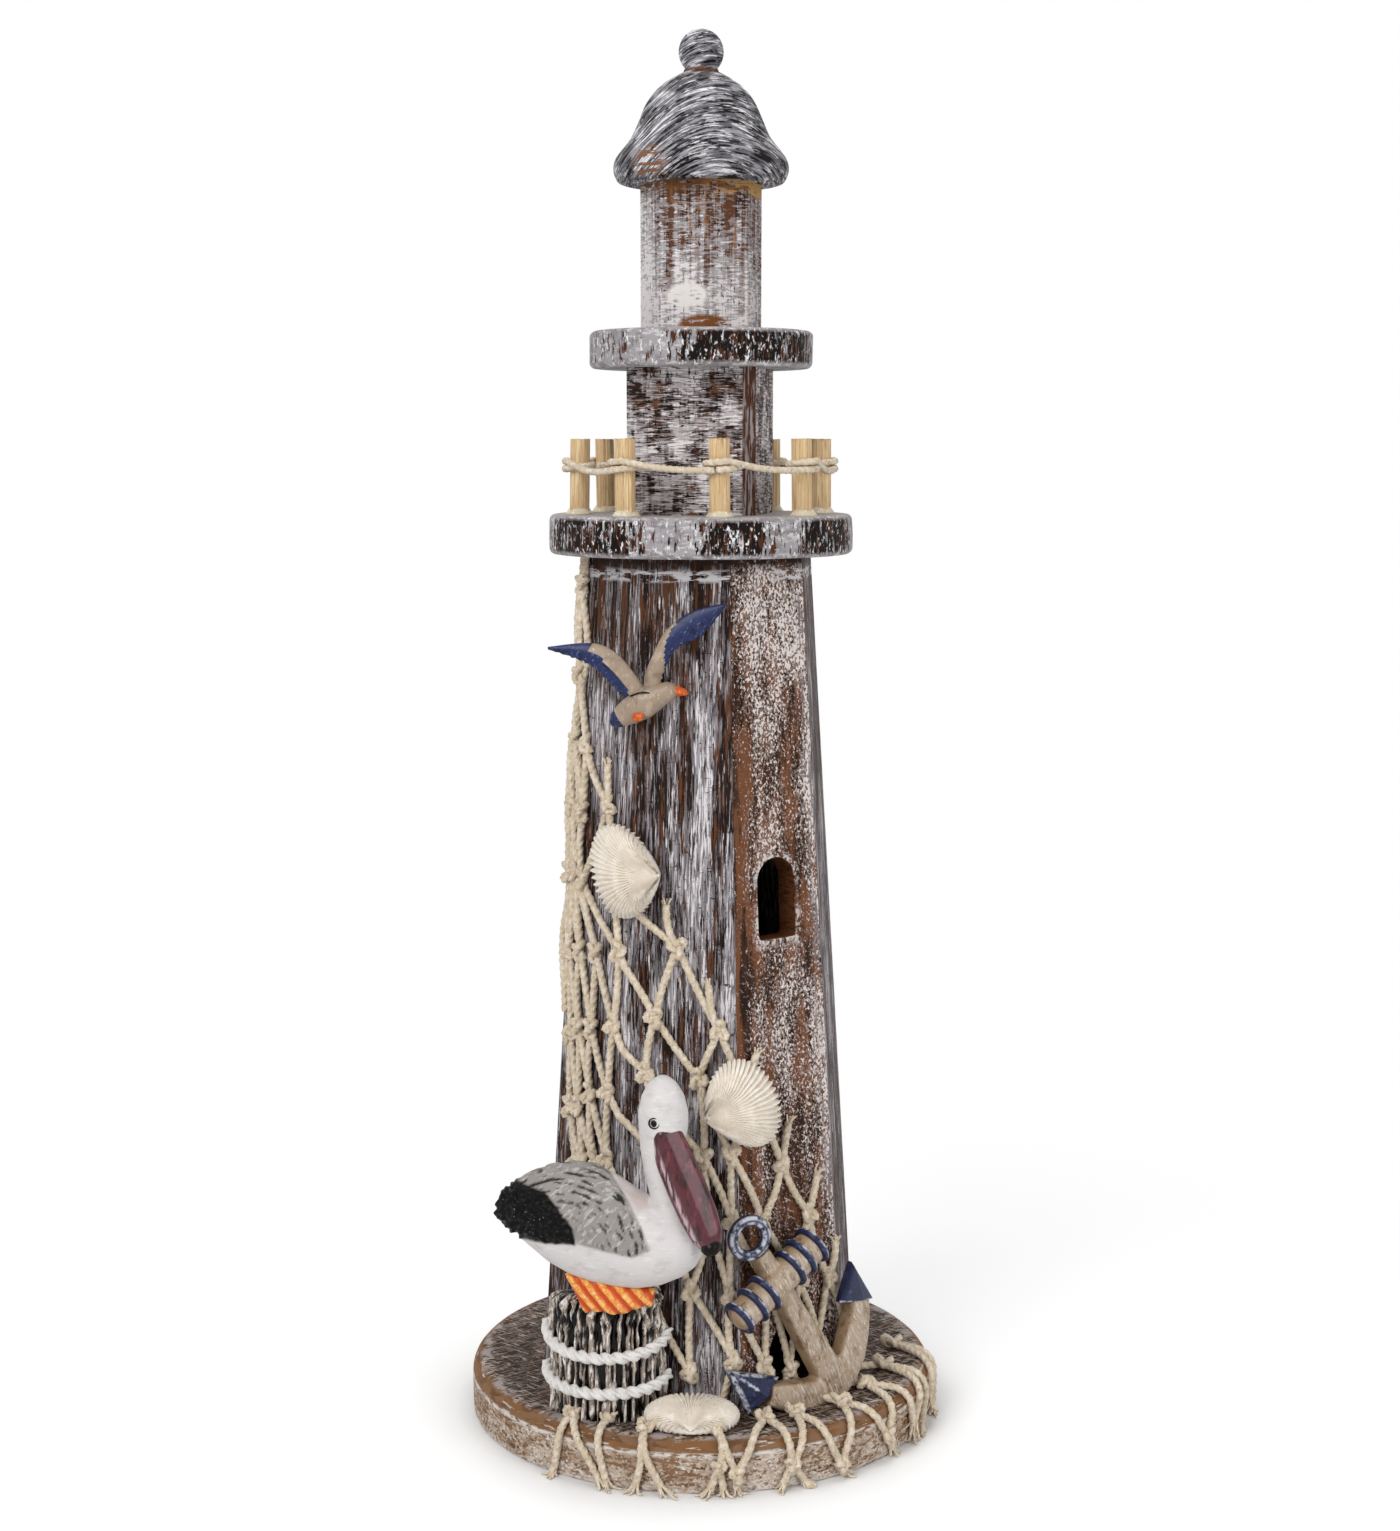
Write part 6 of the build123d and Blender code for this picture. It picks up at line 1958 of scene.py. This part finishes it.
# Eye: its place on the head, how far it is sunk, and its stations outwards with their half width.
EYE_ASIDE = -2.6
EYE_HEIGHT = 98.6
EYE_SINK = 0.15
EYE_TALL = 1.15
EYE = [(-0.5, 0.6), (0.0, 0.85), (0.35, 0.6), (0.5, 0.2)]
NEAR_EYE = 0.6
LID_RADIUS = 1.35
LID_WIRE = 0.2
front_most = 0.0
for vertex in bird.data.vertices:
    spot = Vector(vertex.co) / MM
    if abs(spot.dot(FRONT_RIGHT) - EYE_ASIDE) < NEAR_EYE and abs(spot.z - EYE_HEIGHT) < NEAR_EYE:
        front_most = max(front_most, spot.dot(FRONT_OUT))
eye_middle = bird_spot(EYE_ASIDE, EYE_HEIGHT, front_most - PELICAN_BACK - EYE_SINK)
eye_rings = []
for out, reach in EYE:
    middle = eye_middle + FRONT_OUT * out
    eye_rings.append(oval(middle, FRONT_RIGHT, UPRIGHT, reach, reach * EYE_TALL, count=24))
eye = new_piece("pelican_eye", *lofted(eye_rings), black_paint)
lid_ring = hoop(eye_middle, FRONT_RIGHT, UPRIGHT, LID_RADIUS, LID_WIRE, steps=40, section=10)
lid = new_piece("pelican_lid", *lid_ring, black_paint)

# Wet-looking orange paint gives bright toes and darker webs between them.
web_paint = painted(
    "orange_web_paint",
    [
        ("#C84A19", []),
        ("#E98B38", [attribute("toe")]),
        ("#F6BC66", [attribute("toe"), marks((1.0, 1.0, 0.8), 0.46, 0.54, place=5)]),
        ("#FCDDA6", [attribute("toe"), marks((0.7, 0.7, 0.6), 0.57, 0.63, place=18)]),
    ],
    rough=(0.25, 0.4),
    relief=0.15,
    specular=0.3,
)
WEB_STATIONS = 60
TOE_SPACING = 4.0
TOE_SLANT = 0.85
TOE_HEIGHT = 0.9
TOE_CONTRAST = 0.9
# The webs' upper and lower edges: where each starts on the left, across and up, and how far it runs.
WEB_TOP = (-27.6, 55.4)
WEB_TOP_RUN = (23.8, -3.6)
WEB_LOW = (-22.0, 44.6)
WEB_LOW_RUN = (17.6, 2.4)
# The wave of the lower edge and its pace, then how far out the webs lie, how far they bulge and which part
# of a half turn the bulge takes up.
WEB_WAVE = 0.5
WEB_WAVE_PACE = 9
WEB_OUT = 9.6
WEB_BULGE = 3.4
WEB_BULGE_SPAN = (0.15, 0.75)
WEB_HALF = 2.0
web_rings = []
for station in range(WEB_STATIONS + 1):
    s = station / WEB_STATIONS
    top = Vector((WEB_TOP[0] + WEB_TOP_RUN[0] * s, WEB_TOP[1] + WEB_TOP_RUN[1] * s))
    low_edge = WEB_LOW[1] + WEB_LOW_RUN[1] * s + WEB_WAVE * math.sin(WEB_WAVE_PACE * s)
    low = Vector((WEB_LOW[0] + WEB_LOW_RUN[0] * s, low_edge))
    out = WEB_OUT + WEB_BULGE * math.sin(math.pi * (WEB_BULGE_SPAN[0] + WEB_BULGE_SPAN[1] * s))
    middle = (top + low) / 2
    half = (top - low).length / 2
    slope = FRONT_RIGHT * (top.x - low.x) + Vector((0, 0, top.y - low.y))
    centre = bird_spot(middle.x, middle.y, out)
    web_rings.append(oval(centre, slope.normalized(), FRONT_OUT, half, WEB_HALF, count=30, square=3.0))
web = cast("pelican_web", [lofted(web_rings)], web_paint, voxel=0.32, soften=2)
spots = measured(web, "co") / MM
slant = (spots @ np.array(FRONT_RIGHT) + TOE_SLANT * spots[:, 2]) / TOE_SPACING
toes = np.clip(0.5 + TOE_CONTRAST * np.cos(2 * math.pi * slant), 0, 1)
mark_points(web, "toe", toes)
raised = spots + TOE_HEIGHT * (toes - 0.5)[:, None] * np.array(FRONT_OUT)
web.data.vertices.foreach_set("co", (raised * MM).ravel())
web.data.update()

# Black paint under varnish gives deep dark grooves, with grey and white dragged along the ridges.
bark = painted(
    "black_varnished_piling",
    [
        ("#050302", []),
        ("#65564B", [attribute("ridge"), marks((1.6, 1.6, 6), 0.24, 0.42)]),
        ("#A6978B", [attribute("ridge"), marks((1.0, 1.0, 5), 0.4, 0.5, place=7)]),
        ("#F0E8E1", [attribute("ridge"), marks((0.8, 0.8, 3.0), 0.49, 0.55, place=19)]),
    ],
    rough=(0.22, 0.4),
    relief=0.2,
    specular=0.2,
)
PILING_COLUMNS = 190
PILING_ROWS = 46
# The piling's top, and how far it slopes off at the left from a share of its half width outwards.
PILING_TOP = 48.6
PILING_SLOPE = 4.2
PILING_SLOPE_START = 0.35
PILING_SLOPE_BEND = 1.2
# The grain curls towards the top: where that starts, over what height it grows, and how far it sways.
CURL_START = 36.0
CURL_REACH = 11.0
CURL_SWAY = 9.0
# The sway's size in columns and in millimetres of height, and its place in the noise.
CURL_GRAIN = (14, 3.4, 7.0)
# Grooves that deepen with the curl: depth without it and what it adds, then size and place in the noise.
CURL_DEPTH = (0.4, 0.5)
CURL_GROOVES = (9.0, 2.8, 2.0)
# Straight grooves: depth, width in columns, height in millimetres and place in the noise.
BARK_GROOVES = [(1.2, 4.6, 16.0, 5.0), (0.5, 2.4, 6.0, 11.0)]
BARK_DEPTH = 1.35
BARK_LIFT = 0.4
# How soon a ridge takes full paint, and how much paint there is between ridges and grooves.
RIDGE_PAINT = (3.4, 0.1)
# The top edge is rounded from a share of the height, by a depth.
TOP_ROUND = 0.93
TOP_ROUND_DEPTH = 2.2
piling_points = []
piling_faces = []
piling_ridge = []
for row in range(PILING_ROWS + 1):
    t = row / PILING_ROWS
    for column in range(PILING_COLUMNS + 1):
        turn = math.pi * column / PILING_COLUMNS
        aside = PILING_MIDDLE - PILING_HALF * math.cos(turn)
        off_left = (PILING_MIDDLE - aside) / PILING_HALF - PILING_SLOPE_START
        top = PILING_TOP - PILING_SLOPE * max(0.0, off_left) ** PILING_SLOPE_BEND
        height = TOWER_FOOT + (top - TOWER_FOOT) * t
        curl = max(0.0, (height - CURL_START) / CURL_REACH)
        wide, tall, place = CURL_GRAIN
        bent = column + CURL_SWAY * curl * noise.noise((column / wide, height / tall, place))
        groove = 0.0
        grooves = [(CURL_DEPTH[0] + CURL_DEPTH[1] * curl, *CURL_GROOVES), *BARK_GROOVES]
        for depth, wide, tall, place in grooves:
            groove += depth * noise.noise((bent / wide, height / tall, place))
        lump = BARK_DEPTH * groove + BARK_LIFT
        lump -= TOP_ROUND_DEPTH * max(0.0, (t - TOP_ROUND) / (1 - TOP_ROUND)) ** 2
        half = PILING_HALF + lump
        deep = PILING_DEPTH + lump
        aside = PILING_MIDDLE - half * math.cos(turn)
        piling_points.append(bird_spot(aside, height, deep * math.sin(turn)))
        piling_ridge.append(min(1.0, max(0.0, groove * RIDGE_PAINT[0] + RIDGE_PAINT[1])))
row_length = PILING_COLUMNS + 1
for row in range(PILING_ROWS):
    for column in range(PILING_COLUMNS):
        low, high = row * row_length + column, (row + 1) * row_length + column
        piling_faces.append((low, low + 1, high + 1, high))
piling_faces.append(tuple(range(row_length)))
piling_faces.append(tuple(PILING_ROWS * row_length + k for k in range(row_length)))
for row in range(PILING_ROWS):
    low, high = row * row_length, (row + 1) * row_length
    piling_faces.append((low, high, high + PILING_COLUMNS, low + PILING_COLUMNS))
piling = new_piece("pelican_piling", piling_points, piling_faces, bark)
mark_points(piling, "ridge", piling_ridge)

# White paint on cast rope gives a satin off-white, greyed between the strands.
rope_paint = painted(
    "white_rope_paint",
    [
        ("#E7E4E1", []),
        ("#CFCAC5", [marks((2, 2, 2), 0.5, 0.66)]),
        ("#8B837B", [marks((0.8, 0.8, 0.8), 0.64, 0.72, place=9)]),
    ],
    rough=(0.4, 0.5),
    relief=0.12,
)
# Each rope's height at the piling's left side, at the bottom of its droop and at the right side.
PILING_ROPES = [(37.6, 32.4, 36.6), (25.8, 22.6, 24.6)]
ROPE_STEPS = 60
ROPE_ASIDE = 1.7
ROPE_OUT = 1.8
ROPE_DROOP = 0.8
rope_look = {"thickness": 3.5, "pitch": 9.5, "finish": rope_paint, "depth": 0.24, "step": 0.5, "sides": 20}
ropes = []
for left_height, low_height, right_height in PILING_ROPES:
    path = []
    for k in range(ROPE_STEPS + 1):
        t = k / ROPE_STEPS
        turn = math.pi * t
        level = left_height + (right_height - left_height) * t
        drop = (level - low_height) * math.sin(turn) ** ROPE_DROOP
        aside = PILING_MIDDLE - (PILING_HALF + ROPE_ASIDE) * math.cos(turn)
        path.append(bird_spot(aside, level - drop, (PILING_DEPTH + ROPE_OUT) * math.sin(turn)))
    ropes.append((path, False))
rope = twisted("pelican_ropes", ropes, **rope_look)
painted_pelican = joined("painted_pelican", [bird, bill, nail, eye, lid, web, piling, rope])
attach(painted_pelican, "root")
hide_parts("pelican")

# Stage: a white paper floor that keeps the ornament's soft shade, a white surround and three soft lamps.
# The camera looks along +Y at the height of a table photograph, tilted a little down.
CAMERA_ASIDE = -0.3
CAMERA_BACK = 647.7
CAMERA_HEIGHT = 270.1
CAMERA_TILT = 7.7
LENS = 55.5
SENSOR_WIDTH = 36.0
CLIP_START = 0.01
FLOOR_REACH = 3000.0
# Distances from the ornament's axis between which the paper turns to plain white.
FADE_START = 90.0
FADE_END = 300.0
# How near the ornament the paper shades, how open it is there and far off, its own brightness and roughness.
SHADE_REACH = 28.0
SHADE_FULL = 0.45
SHADE_NONE = 0.97
PAPER_LIFT = 0.34
PAPER_ROUGHNESS = 0.9
# The surround lights the ornament at this strength and is seen at full white.
SURROUND_LIGHT = 0.3
WHITE = (1, 1, 1, 1)
# Each lamp's place in millimetres, width in metres and power in watts, then where they all point.
LAMPS = {
    "key_softbox": ((-620, -900, 900), 0.8, 9.4),
    "fill_softbox": ((760, -760, 420), 0.8, 3.8),
    "top_softbox": ((40, 240, 1120), 0.9, 4.4),
}
LAMP_AIM = (0, 0, 170)


def seen_rays(tree):
    """Mask that is 1 for rays that reach the eye, straight, by a reflection or through something clear."""
    rays = add_node(tree, "ShaderNodeLightPath", {}, {}).outputs
    seen = rays["Is Camera Ray"]
    for kind in ("Is Glossy Ray", "Is Transmission Ray"):
        seen = add_node(tree, "ShaderNodeMath", {"operation": "MAXIMUM"}, {0: seen, 1: rays[kind]})
    return seen


# Matt white paper gives a bright floor that keeps only the ornament's soft contact shade.
paper = bpy.data.materials.new("white_paper")
paper.use_nodes = True
paper_tree = paper.node_tree
paper_shader = paper_tree.nodes["Principled BSDF"]
paper_shader.inputs["Base Color"].default_value = linear("#E9E9E9")
paper_shader.inputs["Roughness"].default_value = PAPER_ROUGHNESS
paper_shader.inputs["Specular IOR Level"].default_value = 0.0
seen = seen_rays(paper_tree)
# The paper's own brightness falls off close to the ornament, which leaves a thin soft shade there.
openness = add_node(paper_tree, "ShaderNodeAmbientOcclusion", {}, {"Distance": SHADE_REACH * MM})
sockets = {"Value": openness.outputs["AO"], "From Min": SHADE_FULL, "From Max": SHADE_NONE}
sockets.update({"To Min": 0.0, "To Max": PAPER_LIFT})
open_paper = add_node(paper_tree, "ShaderNodeMapRange", {}, sockets)
lift = add_node(paper_tree, "ShaderNodeMath", {"operation": "MULTIPLY"}, {0: seen, 1: open_paper})
glow = add_node(paper_tree, "ShaderNodeEmission", {}, {"Color": WHITE, "Strength": lift})
near = add_node(paper_tree, "ShaderNodeAddShader", {}, {0: paper_shader, 1: glow})
far = add_node(paper_tree, "ShaderNodeEmission", {}, {"Color": WHITE, "Strength": seen})
sockets = {0: across(None, FADE_START, FADE_END)(paper_tree), 1: seen}
fade = add_node(paper_tree, "ShaderNodeMath", {"operation": "MULTIPLY"}, sockets)
both = add_node(paper_tree, "ShaderNodeMixShader", {}, {0: fade, 1: near, 2: far})
paper_tree.links.new(both.outputs[0], paper_tree.nodes["Material Output"].inputs["Surface"])
floor_corners = [(x * FLOOR_REACH, y * FLOOR_REACH, 0) for x, y in ((-1, -1), (1, -1), (1, 1), (-1, 1))]
floor = new_piece("paper_floor", floor_corners, [(0, 1, 2, 3)], paper, smooth=False)

surround = bpy.data.worlds.new("white_surround")
surround.use_nodes = True
surround_tree = surround.node_tree
sockets = {"Value": seen_rays(surround_tree), "To Min": SURROUND_LIGHT, "To Max": 1.0}
level = add_node(surround_tree, "ShaderNodeMapRange", {}, sockets)
surround_tree.links.new(level.outputs[0], surround_tree.nodes["Background"].inputs["Strength"])
surround_tree.nodes["Background"].inputs["Color"].default_value = WHITE
bpy.context.scene.world = surround

for lamp_name, (place, size, power) in LAMPS.items():
    lamp = bpy.data.lights.new(lamp_name, "AREA")
    lamp.shape = "DISK"
    lamp.size = size
    lamp.energy = power
    holder = bpy.data.objects.new(lamp_name, lamp)
    holder.location = Vector(place) * MM
    aim = Vector(LAMP_AIM) * MM - holder.location
    holder.rotation_euler = aim.to_track_quat("-Z", "Y").to_euler()
    bpy.context.scene.collection.objects.link(holder)

lens = bpy.data.cameras.new("table_camera")
lens.lens = LENS
lens.sensor_width = SENSOR_WIDTH
lens.clip_start = CLIP_START
camera = bpy.data.objects.new("table_camera", lens)
camera.location = Vector((CAMERA_ASIDE, -CAMERA_BACK, CAMERA_HEIGHT)) * MM
camera.rotation_euler = (math.radians(90 - CAMERA_TILT), 0, 0)
bpy.context.scene.collection.objects.link(camera)
bpy.context.scene.camera = camera
bpy.context.scene.view_settings.view_transform = "Standard"
